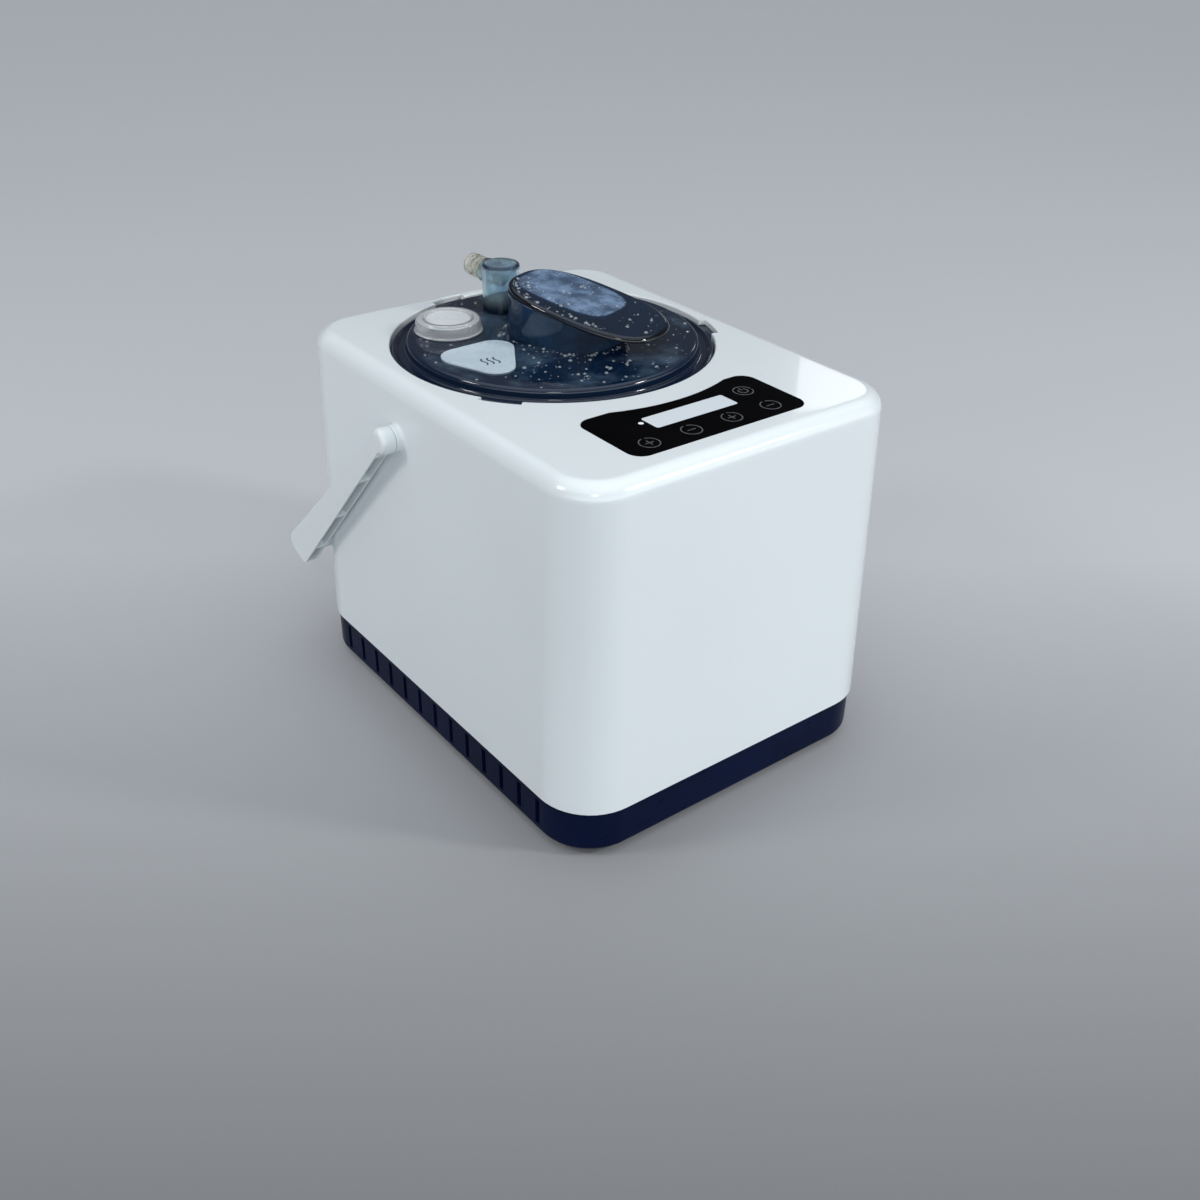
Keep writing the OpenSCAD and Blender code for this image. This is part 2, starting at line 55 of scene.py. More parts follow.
JOINTS = {joint["name"]: joint for joint in frame["record"]["behaviour"]["joints"]}


def joint_at(name):
    """A joint's place."""
    return Vector(JOINTS[name]["pos_m"])


def middle_of(node):
    """The middle of a node's box in plan."""
    lo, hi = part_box(node)
    return ((lo.x + hi.x) / 2, (lo.y + hi.y) / 2)


# ---------- places, all worked out from the frame ----------
SHELL_LO, SHELL_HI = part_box("outer_housing")
TRAY_LO, TRAY_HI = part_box("base_tray")
PANEL_LO, PANEL_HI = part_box("control_panel")
MID_Y = (SHELL_LO.y + SHELL_HI.y) / 2
SEAM_Z = SHELL_LO.z
TOP_Z = SHELL_HI.z
PLATEAU_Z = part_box("label_plate")[0].z
LID = joint_at("lid_turn")
TURRET = joint_at("outlet_swivel")
FILL = joint_at("cap_turn")
PIVOT = joint_at("handle_swing")
CUP_MID = middle_of("herb_box")
COVER_MID = middle_of("herb_cover")
WINDOW_LO, WINDOW_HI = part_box("display_window")
WINDOW_MID = middle_of("display_window")
LED_MID = middle_of("indicator_lens")

# ---------- named sizes; angles are in degrees ----------
# shell: how far its walls lean in, its corners, its top edge and its wall
DRAFT = 4.5 * MM
CORNER_R = 27 * MM
EDGE_R = 9 * MM
WALL = 3 * MM
# mouth of the shell, its notches, and the lid's lugs that pass them
OPENING_R = 89.5 * MM
NOTCH_R = 93.3 * MM
NOTCH_STARTS = (-149, -29, 91)
NOTCH_SPAN = 14
LUG_R = 92.8 * MM
LUG_STARTS = (-148, -28, 92)
LUG_SPAN = 12
# lid: its lip below the shell's top, and its raised middle
LIP_DROP = 2.2 * MM
PLATEAU_R = 80.4 * MM
# herb box and cover: direction, half sizes along and across, heights above the lid
HERB_ANGLE = -69
CUP_LONG = 32 * MM
CUP_WIDE = 27 * MM
COVER_LONG = 45.5 * MM
COVER_WIDE = 28.5 * MM
COVER_BACK_H = 28 * MM
COVER_FRONT_H = 12 * MM
COVER_T = 3 * MM
COVER_SLOPE = (COVER_BACK_H - COVER_FRONT_H) / (2 * COVER_LONG)
# ovals: the power in their parametric form, the one that tests the inside, and the one that shapes
# the painted shade at the cover's edge
SQUARENESS = 0.75
INSIDE_POWER = 2.6
SHADE_POWER = 2.667
# meshes: step along a notched outline, stand-in for a radius of 0, merging, sharp edges
NOTCH_STEP = 2.0
ON_AXIS = 1e-7
MERGE_DIST = 2e-6
SHARP_EDGE = 40


# ---------- mesh building ----------
def turned(angle, radius, centre=(0, 0)):
    """The point at an angle in degrees and a radius round a centre."""
    a = math.radians(angle)
    return (centre[0] + radius * math.cos(a), centre[1] + radius * math.sin(a))


def arc(centre, radius, start, end, count):
    """Points along an arc, both ends included."""
    return [turned(start + (end - start) * i / count, radius, centre) for i in range(count + 1)]


def circle(radius, count, centre=(0, 0)):
    """A circle's outline, anticlockwise."""
    return [turned(360 * i / count, radius, centre) for i in range(count)]


def rounded_rect(half_x, half_y, radius, count=12, centre=(0, 0)):
    """A rounded rectangle's outline, anticlockwise."""
    points = []
    for corner, (sx, sy) in enumerate(((1, 1), (-1, 1), (-1, -1), (1, -1))):
        spot = (centre[0] + sx * (half_x - radius), centre[1] + sy * (half_y - radius))
        points += arc(spot, radius, corner * 90, corner * 90 + 90, count)
    return points


def oval(half_long, half_wide, count=128):
    """A squarish oval's outline, with its long axis along X."""
    points = []
    for i in range(count):
        c, s = math.cos(2 * math.pi * i / count), math.sin(2 * math.pi * i / count)
        x = half_long * math.copysign(abs(c) ** SQUARENESS, c)
        y = half_wide * math.copysign(abs(s) ** SQUARENESS, s)
        points.append((x, y))
    return points


def inside_oval(x, y, half_long, half_wide):
    """Whether a point is inside an oval, whose corners count as a little rounder than they are."""
    return (abs(x) / half_long) ** INSIDE_POWER + (abs(y) / half_wide) ** INSIDE_POWER < 1


def notched_circle(radius, notch_radius, starts, span):
    """A circle's outline that steps to another radius over each notch."""
    starts = sorted(s % 360 for s in starts)
    points = []
    for i, start in enumerate(starts):
        following = starts[(i + 1) % len(starts)] + (360 if i == len(starts) - 1 else 0)
        points += arc((0, 0), notch_radius, start, start + span, math.ceil(span / NOTCH_STEP))
        rest = following - start - span
        points += arc((0, 0), radius, start + span, following, math.ceil(rest / NOTCH_STEP))
    return points


def quarter(radius, count=6):
    """(run, rise) of a rounded edge, from the flat's end to the wall's start."""
    steps = [math.radians(90 * i / count) for i in range(count + 1)]
    return [(radius * math.sin(a), radius * (1 - math.cos(a))) for a in steps]


def rod(radius, start, end):
    """The lathe profile of a plain round rod."""
    return [(0, start), (radius, start), (radius, end), (0, end)]


def linked(name, data):
    """A new object in the scene."""
    made = bpy.data.objects.new(name, data)
    bpy.context.scene.collection.objects.link(made)
    return made


class Solid:
    """A mesh built from loops of points and the skins between them."""

    def __init__(self):
        self.bm = bmesh.new()

    def loop(self, points, z=None, place=None):
        """Vertices at 2D points and a height, or at 3D points; place maps them into the frame."""
        spots = [Vector((p[0], p[1], p[2] if z is None else z)) for p in points]
        return [self.bm.verts.new(place @ s if place else s) for s in spots]

    def skin(self, *loops):
        """Bands of faces from each loop to the next."""
        for low, high in zip(loops, loops[1:]):
            for i in range(len(low)):
                j = (i + 1) % len(low)
                self.bm.faces.new((low[i], low[j], high[j], high[i]))

    def fill(self, *loops):
        """Flat faces inside the first loop and outside the others."""
        edges = []
        for loop in loops:
            for a, b in zip(loop, loop[1:] + loop[:1]):
                edges.append(self.bm.edges.get((a, b)) or self.bm.edges.new((a, b)))
        bmesh.ops.triangle_fill(self.bm, edges=edges, use_beauty=True, use_dissolve=False)

    def lathe(self, profile, place, count=64):
        """Turns (radius, height) points round the Z axis of place. A radius of 0 closes to a fan,
        and a profile that starts off the axis is closed on itself."""
        loops = [self.loop(circle(max(r, ON_AXIS), count), h, place) for r, h in profile]
        self.skin(*loops)
        if profile[0][0] > 0:
            self.skin(loops[-1], loops[0])

    def block(self, low, high, place=None):
        """A box between two corners."""
        base = [(low[0], low[1]), (high[0], low[1]), (high[0], high[1]), (low[0], high[1])]
        self.prism(base, low[2], high[2], place)

    def prism(self, outline, low, high, place=None, holes=()):
        """An outline with holes, pulled up from low to high."""
        bottom = [self.loop(points, low, place) for points in (outline, *holes)]
        top = [self.loop(points, high, place) for points in (outline, *holes)]
        for a, b in zip(bottom, top):
            self.skin(a, b)
        self.fill(*bottom)
        self.fill(*top)

    def object(self, name):
        """The finished mesh as an object in the scene."""
        bmesh.ops.remove_doubles(self.bm, verts=self.bm.verts, dist=MERGE_DIST)
        bmesh.ops.dissolve_degenerate(self.bm, edges=self.bm.edges, dist=MERGE_DIST / 2)
        bmesh.ops.recalc_face_normals(self.bm, faces=self.bm.faces)
        mesh = bpy.data.meshes.new(name)
        self.bm.to_mesh(mesh)
        self.bm.free()
        return linked(name, mesh)


def lathed(name, profile, place, count):
    """A turned solid of its own."""
    solid = Solid()
    solid.lathe(profile, place, count)
    return solid.object(name)


def baked(obj):
    """Applies an object's modifiers to its mesh."""
    bpy.context.view_layer.update()
    graph = bpy.context.evaluated_depsgraph_get()
    mesh = bpy.data.meshes.new_from_object(obj.evaluated_get(graph))
    obj.modifiers.clear()
    obj.data = mesh
    return obj


def combined(obj, other, operation="DIFFERENCE"):
    """Joins two closed meshes by a boolean, or cuts one from the other."""
    step = obj.modifiers.new("step", "BOOLEAN")
    step.operation = operation
    step.solver = "EXACT"
    step.use_self = True
    step.object = other
    baked(obj)
    bpy.data.objects.remove(other)
    return obj


def rounded(obj, width, segments=3):
    """Rounds every sharp edge."""
    bevel = obj.modifiers.new("round", "BEVEL")
    bevel.width = width
    bevel.segments = segments
    bevel.limit_method = "ANGLE"
    bevel.angle_limit = math.radians(SHARP_EDGE)
    bevel.use_clamp_overlap = True
    return baked(obj)


def dressed(obj, material, body, slot, *nodes, sharp=38):
    """Shades a finished piece and ties it to the frame."""
    obj.data.materials.clear()
    obj.data.materials.append(material)
    obj.data.shade_smooth()
    obj.data.set_sharp_from_angle(angle=math.radians(sharp))
    normals = obj.modifiers.new("even shading", "WEIGHTED_NORMAL")
    normals.keep_sharp = True
    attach(obj, body)
    if nodes:
        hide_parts(*nodes)


# ---------- materials ----------
GRAIN_DEPTH = 0.4 * MM
PLASTIC_IOR = 1.49
# darkness of the painted shade along a see-through edge, as a share of the clear colour
EDGE_SHADE = 0.15


def added(tree, kind, inputs, **settings):
    """A new node, with its inputs set to values or linked to outputs."""
    node = tree.nodes.new("ShaderNode" + kind)
    for setting, value in settings.items():
        setattr(node, setting, value)
    for socket, value in inputs.items():
        if isinstance(value, bpy.types.NodeSocket):
            tree.links.new(value, node.inputs[socket])
        else:
            node.inputs[socket].default_value = value
    return node


def noise(tree, coords, scale, detail=3.0, roughness=0.55):
    """Soft noise from 0 to 1."""
    inputs = {"Vector": coords, "Scale": scale, "Detail": detail, "Roughness": roughness}
    return added(tree, "TexNoise", inputs).outputs["Fac"]


def ramp(tree, fac, start, end, low, high):
    """Spreads one stretch of a value over a range of numbers."""
    inputs = {"Value": fac, "From Min": start, "From Max": end, "To Min": low, "To Max": high}
    return added(tree, "MapRange", inputs).outputs["Result"]


def mixed(tree, fac, first, second):
    """A colour between two, each given as a colour or as an output."""
    first, second = ((*c, 1) if isinstance(c, tuple) else c for c in (first, second))
    inputs = {"Factor": fac, "A": first, "B": second}
    return added(tree, "Mix", inputs, data_type="RGBA").outputs["Result"]


def calculated(tree, operation, *terms):
    """The result of some arithmetic on outputs and numbers."""
    return added(tree, "Math", dict(enumerate(terms)), operation=operation).outputs["Value"]


def along(tree, coords, direction):
    """How far a point lies in a direction."""
    inputs = {0: coords, 1: direction}
    return added(tree, "VectorMath", inputs, operation="DOT_PRODUCT").outputs["Value"]


def region(tree, coords, middle, angle, halves, power, inner, outer):
    """1 inside an oval region of the plan, which falls to 0 between two shares of its size."""
    turn = (0, 0, math.radians(angle))
    inputs = {"Vector": coords, "Location": (*middle, 0), "Rotation": turn, "Scale": (*halves, 1)}
    mapping = added(tree, "Mapping", inputs, vector_type="TEXTURE")
    split = added(tree, "SeparateXYZ", {"Vector": mapping.outputs["Vector"]})
    parts = []
    for axis in ("X", "Y"):
        size = calculated(tree, "ABSOLUTE", split.outputs[axis])
        parts.append(calculated(tree, "POWER", size, power))
    reach = calculated(tree, "ADD", *parts)
    return ramp(tree, reach, inner ** power, outer ** power, 1, 0)


def shade(colour, factor):
    """A colour made darker or lighter."""
    return tuple(min(1.0, c * factor) for c in colour)


def drifting(tree, coords, colour, spread, cloud):
    """A colour that drifts with noise between a darker and a lighter shade."""
    drift = ramp(tree, noise(tree, coords, cloud), 0.3, 0.7, 0, 1)
    return mixed(tree, drift, shade(colour, 1 - spread), shade(colour, 1 + spread))


def started(name):
    """A new material, with its nodes, its shader and its coordinates."""
    material = bpy.data.materials.new(name)
    material.use_nodes = True
    tree = material.node_tree
    coords = added(tree, "TexCoord", {}).outputs["Object"]
    return material, tree, tree.nodes["Principled BSDF"], coords


def finish(name, colour, rough, spread=0.05, cloud=30, haze=0.04, grain=0.0, grain_scale=900,
           **sockets):
    """A surface whose colour and roughness drift with noise, with a fine grain as bump. The colour
    may also be a function that makes one from the material's nodes and coordinates."""
    material, tree, shader, coords = started(name)
    tint = (colour(tree, coords) if callable(colour)
            else drifting(tree, coords, colour, spread, cloud))
    tree.links.new(tint, shader.inputs["Base Color"])
    wipe = noise(tree, coords, cloud * 2.7, 4)
    wiped = ramp(tree, wipe, 0.3, 0.7, max(0, rough - haze), rough + haze)
    tree.links.new(wiped, shader.inputs["Roughness"])
    if grain:
        height = noise(tree, coords, grain_scale, 2)
        bump = added(tree, "Bump", {"Strength": grain, "Distance": GRAIN_DEPTH, "Height": height})
        tree.links.new(bump.outputs["Normal"], shader.inputs["Normal"])
    for socket, value in sockets.items():
        shader.inputs[socket.replace("_", " ")].default_value = value
    return material


def moulded(name, colour, rough, grain=0.05, **more):
    """Injection-moulded plastic."""
    return finish(name, colour, rough, grain=grain, **more)


def metal(name, colour, rough, **more):
    """Bare metal with a fine grain."""
    return finish(name, colour, rough, Metallic=1.0, grain=0.08, grain_scale=1500, **more)


def tinted(name, colour, rough, clear=1.0, **more):
    """See-through plastic, with a faint haze where it has steamed over."""
    return finish(name, colour, rough, haze=0.03, IOR=PLASTIC_IOR, Transmission_Weight=clear,
                  **more)


def misted(name, clear_colour, mist_colour, rough, see_through, mist, edge=None):
    """Tinted plastic, with mist in one region and, if asked, painted shade along the edge of
    another. The two numbers of see_through are how much light passes where it is clear and where it
    is misted."""
    material, tree, shader, coords = started(name)
    cloud = noise(tree, coords, mist["scale"], 5, 0.6)
    patches = ramp(tree, cloud, mist["from"], mist["to"], mist["least"], 1)
    fog = calculated(tree, "MULTIPLY", patches, region(tree, coords, *mist["where"]))
    colour = mixed(tree, fog, clear_colour, mist_colour)
    # painted shade: the clear colour, darkened, along the edge of the region
    if edge:
        inside = region(tree, coords, *edge)
        colour = mixed(tree, inside, shade(clear_colour, EDGE_SHADE), colour)
    tree.links.new(colour, shader.inputs["Base Color"])
    tree.links.new(ramp(tree, fog, 0, 1, *see_through), shader.inputs["Transmission Weight"])
    wipe = noise(tree, coords, 80, 4)
    tree.links.new(ramp(tree, wipe, 0.3, 0.7, rough, rough + 0.06), shader.inputs["Roughness"])
    shader.inputs["IOR"].default_value = PLASTIC_IOR
    return material


WHITE = moulded("white_gloss", (0.72, 0.77, 0.79), 0.20, spread=0.012, cloud=9, haze=0.03,
                grain=0.02, grain_scale=160, Coat_Weight=0.4, Coat_Roughness=0.04)
NAVY = moulded("navy_plastic", (0.0026, 0.0062, 0.0265), 0.30, spread=0.15, cloud=24,
               grain_scale=700, Specular_IOR_Level=0.05)
RUBBER = moulded("grey_rubber", (0.035, 0.035, 0.038), 0.75, spread=0.15, grain=0.3)
STEEL = metal("zinc_steel", (0.60, 0.61, 0.63), 0.32)
POT_STEEL = metal("brushed_steel", (0.62, 0.62, 0.61), 0.24, cloud=60)
SILICONE = moulded("pale_silicone", (0.60, 0.61, 0.60), 0.55, spread=0.06, grain=0.15)
RED_SILICONE = moulded("red_silicone", (0.35, 0.04, 0.03), 0.55, grain=0.15)
WOOL = moulded("insulation_felt", (0.55, 0.49, 0.33), 0.95, spread=0.25, cloud=120,
               grain=0.9, grain_scale=500)
SHEATH = metal("element_sheath", (0.30, 0.30, 0.31), 0.42, spread=0.15)
BRASS = metal("brass", (0.72, 0.50, 0.20), 0.30, spread=0.10)
BLACK = moulded("black_plastic", (0.018, 0.018, 0.020), 0.42, grain=0.12)
BOARD = moulded("circuit_board", (0.010, 0.110, 0.045), 0.38, spread=0.35, cloud=160)
RELAY = moulded("relay_case", (0.02, 0.07, 0.30), 0.35)
TAPE = moulded("winding_tape", (0.62, 0.42, 0.05), 0.45, spread=0.20, cloud=90)
TERMINAL = moulded("terminal_green", (0.03, 0.22, 0.10), 0.40)
ALUMINIUM = metal("aluminium", (0.66, 0.67, 0.69), 0.38)
SPRING = metal("spring_steel", (0.50, 0.50, 0.52), 0.25)
PANEL = moulded("panel_black", (0.002, 0.002, 0.0024), 0.40, spread=0.2, grain=0.0, IOR=1.04)
GLASS = moulded("display_filter", (0.66, 0.71, 0.75), 0.14, spread=0.02, cloud=20)
LENS = moulded("lens_white", (0.85, 0.88, 0.92), 0.25)
INK = moulded("icon_grey", (0.085, 0.09, 0.095), 0.45, spread=0.5, cloud=500)
RED_WIRE = moulded("wire_red", (0.40, 0.02, 0.02), 0.45)
EARTH_WIRE = moulded("wire_earth", (0.32, 0.42, 0.03), 0.45, spread=0.4, cloud=220)
CUP_BLUE = tinted("cup_blue", (0.030, 0.080, 0.170), 0.10, clear=0.72, spread=0.5, cloud=60,
                  Specular_IOR_Level=0.35)
BARB_CLEAR = tinted("clear_barb", (0.86, 0.84, 0.70), 0.06, clear=0.85, spread=0.3, cloud=320)
WATER = finish("water", (0.90, 0.95, 1.0), 0.02, spread=0.02, haze=0.01, IOR=1.33,
               Transmission_Weight=0.80)
LABEL = moulded("label_white", (0.47, 0.56, 0.62), 0.28, spread=0.06, cloud=60, grain=0.02)
LABEL_INK = moulded("label_ink", (0.012, 0.020, 0.070), 0.4, spread=0.2)
LID_BLUE = misted(
    "lid_blue", (0.005, 0.018, 0.050), (0.10, 0.16, 0.23), 0.04, (0.42, 0.24),
    {"scale": 34, "from": 0.48, "to": 0.76, "least": 0.0,
     "where": (tuple(LID.xy), 0, (PLATEAU_R, PLATEAU_R), 2, 0.93, 0.99)})
# cover: the lighter patch over the cup is partly mist and partly painted light, the glow seen
# through the cover into the cup; the last region sets painted shade along the cover's edge
COVER_BLUE = misted(
    "cover_blue", (0.028, 0.085, 0.190), (0.29, 0.42, 0.62), 0.03, (0.88, 0.42),
    {"scale": 90, "from": 0.36, "to": 0.62, "least": 0.4,
     "where": (turned(HERB_ANGLE + 90, 3.5 * MM, CUP_MID), HERB_ANGLE,
               (CUP_LONG - 2 * MM, CUP_WIDE - 6 * MM), 3.4, 0.94, 0.98)},
    (COVER_MID, HERB_ANGLE, (COVER_LONG, COVER_WIDE), SHADE_POWER, 0.93, 0.985))
CAP_CLEAR = misted(
    "clear_cap", (0.95, 0.98, 1.0), (0.94, 0.97, 1.0), 0.03, (0.80, 0.30),
    {"scale": 60, "from": 0.30, "to": 0.60, "least": 0.7,
     "where": (tuple(FILL.xy), 0, (13 * MM, 13 * MM), 2, 0.90, 1.0)})

CARRIED = {
    "pot_ring": WHITE, "base_screws": STEEL, "steam_pot": POT_STEEL, "pot_seal": SILICONE,
    "insulation_sleeve": WOOL, "heating_element": SHEATH, "element_seals": RED_SILICONE,
    "element_nuts": BRASS, "thermal_cutout": BLACK, "temperature_probe": BRASS,
    "level_probe": STEEL, "power_board": BOARD, "power_relay": RELAY, "transformer": TAPE,
    "terminal_block": TERMINAL, "heat_sink": ALUMINIUM, "power_board_screws": STEEL,
    "control_board": BOARD, "control_board_screws": STEEL, "display_module": BLACK,
    "touch_springs": SPRING, "buzzer": BLACK, "display_window": GLASS, "indicator_lens": LENS,
    "cord_gland": BLACK, "gland_nut": BLACK, "wiring_harness": RED_WIRE, "earth_lead": EARTH_WIRE,
    "handle_washers": STEEL, "handle_screws": STEEL, "lid_gasket": SILICONE,
    "outlet_oring": RUBBER, "outlet_clip": SPRING, "fill_cap_gasket": SILICONE,
}


def dress_carried_nodes():
    """Gives each CAD node that no piece replaces its own finish."""
    for name, material in CARRIED.items():
        node = frame["nodes"][name]
        node.data.materials.clear()
        node.data.materials.append(material)


# ---------- shell ----------
def at(x, y, z):
    """Local axes as in the frame, from a point."""
    return Matrix.Translation((x, y, z))


def backwards(x, y, z):
    """Local Z points to the back, from a point."""
    return at(x, y, z) @ Matrix.Rotation(math.radians(-90), 4, "X")


def side_loop(solid, inset, z, lo=SHELL_LO, hi=SHELL_HI, radius=CORNER_R + DRAFT):
    """The shell's outline at a height, or the base's, pulled in by an inset."""
    half_x, half_y = (hi.x - lo.x) / 2 - inset, (hi.y - lo.y) / 2 - inset
    return solid.loop(rounded_rect(half_x, half_y, radius - inset, centre=(0, MID_Y)), z)


PANEL_X = middle_of("control_panel")[0]
PANEL_HALF = (PANEL_HI.x - PANEL_LO.x) / 2
PANEL_CORNER_R = 8 * MM
PANEL_CLEAR_R = 106 * MM


def panel_outline(grow=0.0):
    """The panel's outline: four round corners and a back edge hollowed round the lid."""
    half = PANEL_HALF + grow
    front, back = PANEL_LO.y - grow, PANEL_HI.y + grow
    clear = PANEL_CLEAR_R - grow
    r = PANEL_CORNER_R + grow
    left, right = PANEL_X - half + r, PANEL_X + half - r
    points = arc((left, front + r), r, 180, 270, 10)
    points += arc((right, front + r), r, 270, 360, 10)
    points += arc((right, back - r), r, 0, 90, 10)
    open_half = math.degrees(math.acos((LID.y - back) / clear))
    points += arc((0, LID.y), clear, open_half - 90, -open_half - 90, 40)
    points += arc((left, back - r), r, 90, 180, 10)
    return points


def panel_openings(gap, led_r):
    """Outlines of the openings for the display, with a gap round it, and for the indicator."""
    half_x, half_y = (WINDOW_HI.x - WINDOW_LO.x) / 2 + gap, (WINDOW_HI.y - WINDOW_LO.y) / 2 + gap
    return rounded_rect(half_x, half_y, 1.5 * MM, 5, WINDOW_MID), circle(led_r, 24, LED_MID)


def boss_profile(wall_x, tip_x, outer, bore, inner_x):
    """A boss round a bore, which flares where it meets the wall."""
    flare, edge, chamfer = 1.4 * MM, 0.7 * MM, 0.3 * MM
    points = [(outer, inner_x), (outer + flare, wall_x)]
    points += [(outer + flare - run, wall_x + rise) for run, rise in quarter(flare)]
    points += [(outer - rise, tip_x - edge + run) for run, rise in quarter(edge)]
    points += [(bore + chamfer, tip_x), (bore, tip_x - chamfer), (bore, inner_x)]
    return points


def sideways(side):
    """Local Z points out of the left or right wall, from the handle's axis."""
    return at(0, PIVOT.y, PIVOT.z) @ Matrix.Rotation(math.radians(90 * side), 4, "Y")


def make_shell():
    """The white shell: walls, top with the lid's mouth and the panel's recess, handle bosses."""
    solid = Solid()
    foot, lip, seat = 0.8 * MM, 1.0 * MM, 0.5 * MM
    edge_z, inner_r = TOP_Z - EDGE_R, EDGE_R - WALL
    outer = [side_loop(solid, foot - run, SEAM_Z + rise) for run, rise in quarter(foot, 3)]
    outer += [side_loop(solid, DRAFT + rise, edge_z + run) for run, rise in quarter(EDGE_R, 14)]
    inner = [side_loop(solid, DRAFT + WALL + rise, edge_z + run) for run, rise in quarter(inner_r)]
    inner.insert(0, side_loop(solid, WALL, SEAM_Z))
    solid.skin(inner[0], *outer)
    solid.skin(*inner)
    mouth_at = at(0, LID.y, TOP_Z)
    mouth = []
    for run, rise in quarter(lip, 5):
        grow = lip - run
        ring = notched_circle(OPENING_R + grow, NOTCH_R + grow * 0.6, NOTCH_STARTS, NOTCH_SPAN)
        mouth.append(solid.loop(ring, -rise, mouth_at))
    ring = notched_circle(OPENING_R, NOTCH_R, NOTCH_STARTS, NOTCH_SPAN)
    mouth.append(solid.loop(ring, -WALL, mouth_at))
    solid.skin(*mouth)
    recess = [solid.loop(panel_outline(0.2 * MM), TOP_Z - depth) for depth in (0, seat)]
    solid.skin(*recess)
    holes = []
    for points in panel_openings(0.6 * MM, 2 * MM):
        hole = [solid.loop(points, TOP_Z - depth) for depth in (seat, WALL)]
        solid.skin(*hole)
        holes.append(hole)
    solid.fill(outer[-1], mouth[0], recess[0])
    solid.fill(recess[1], holes[0][0], holes[1][0])
    solid.fill(inner[-1], mouth[-1], holes[0][1], holes[1][1])
    lean = DRAFT * (PIVOT.z - SEAM_Z) / (edge_z - SEAM_Z)
    boss = boss_profile(SHELL_HI.x - lean - 0.1 * MM, tip_x=106.7 * MM, outer=7.5 * MM,
                        bore=4.06 * MM, inner_x=96 * MM)
    for side in (-1, 1):
        solid.lathe(boss, sideways(side))
    dressed(solid.object("housing_shell"), WHITE, "root", "white_shell", "outer_housing")


# ---------- base ----------
SLOT_COUNT = 13
SLOT_PITCH = 17 * MM
SLOT_HALF = (6 * MM, 1.8 * MM, 8 * MM)
SLOT_MID_H = 13 * MM
SCREW_HEAD_R = 4 * MM
GLAND_BORE_R = 6.1 * MM


def make_tray():
    """The navy tub, with vent slots, the cord's bore and wells for the screws cut out of it."""
    solid = Solid()
    lo, hi = TRAY_LO, TRAY_HI
    curl, rim, skin_t = 3.4 * MM, 0.5 * MM, 2.5 * MM

    def loop(inset, z):
        return side_loop(solid, inset, z, lo, hi, CORNER_R + 3 * MM)

    outer = [loop(curl - run, lo.z + rise) for run, rise in quarter(curl, 8)]
    outer += [loop(rise, hi.z - rim + run) for run, rise in quarter(rim, 3)]
    inner = [loop(skin_t + curl - run, lo.z + skin_t + rise) for run, rise in quarter(curl, 6)]
    inner.append(loop(skin_t, hi.z))
    solid.skin(*outer, inner[-1])
    solid.skin(*inner)
    solid.fill(outer[0])
    solid.fill(inner[0])
    tray = solid.object("base_tub")
    cuts = Solid()
    for side in (-1, 1):
        for i in range(SLOT_COUNT):
            y = MID_Y + (i - (SLOT_COUNT - 1) / 2) * SLOT_PITCH
            middle = (side * (hi.x - lo.x) / 2, y, lo.z + SLOT_MID_H)
            cuts.block(*([c + end * h for c, h in zip(middle, SLOT_HALF)] for end in (-1, 1)))
    gland_lo, gland_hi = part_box("cord_gland")
    gland = Vector(((gland_lo.x + gland_hi.x) / 2, gland_lo.y, (gland_lo.z + gland_hi.z) / 2))
    cuts.lathe(rod(GLAND_BORE_R, 0, 30 * MM), backwards(*gland), 32)
    screw_lo, screw_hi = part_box("base_screws")
    for x in (screw_lo.x + SCREW_HEAD_R, screw_hi.x - SCREW_HEAD_R):
        for y in (screw_lo.y + SCREW_HEAD_R, screw_hi.y - SCREW_HEAD_R):
            cuts.lathe(rod(SCREW_HEAD_R + 0.6 * MM, -1 * MM, 4 * MM), at(x, y, lo.z), 32)
    combined(tray, cuts.object("cuts"))
    dressed(tray, NAVY, "root", "navy_base", "base_tray")


def make_feet():
    """Four round pads with a shallow ring groove in each sole."""
    solid = Solid()
    lo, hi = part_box("rubber_feet")
    radius, edge, groove = 10 * MM, 1.0 * MM, 0.8 * MM
    profile = [(0, hi.z), (radius, hi.z), (radius, lo.z + edge)]
    profile += [(radius - rise, lo.z + edge - run) for run, rise in quarter(edge, 4)]
    profile += [(6.4 * MM, lo.z), (6.0 * MM, lo.z + groove), (4.6 * MM, lo.z + groove)]
    profile += [(4.2 * MM, lo.z), (0, lo.z)]
    for x in (lo.x + radius, hi.x - radius):
        for y in (lo.y + radius, hi.y - radius):
            solid.lathe(profile, at(x, y, 0), 48)
    dressed(solid.object("foot_pads"), RUBBER, "root", "foot_rubber", "rubber_feet")


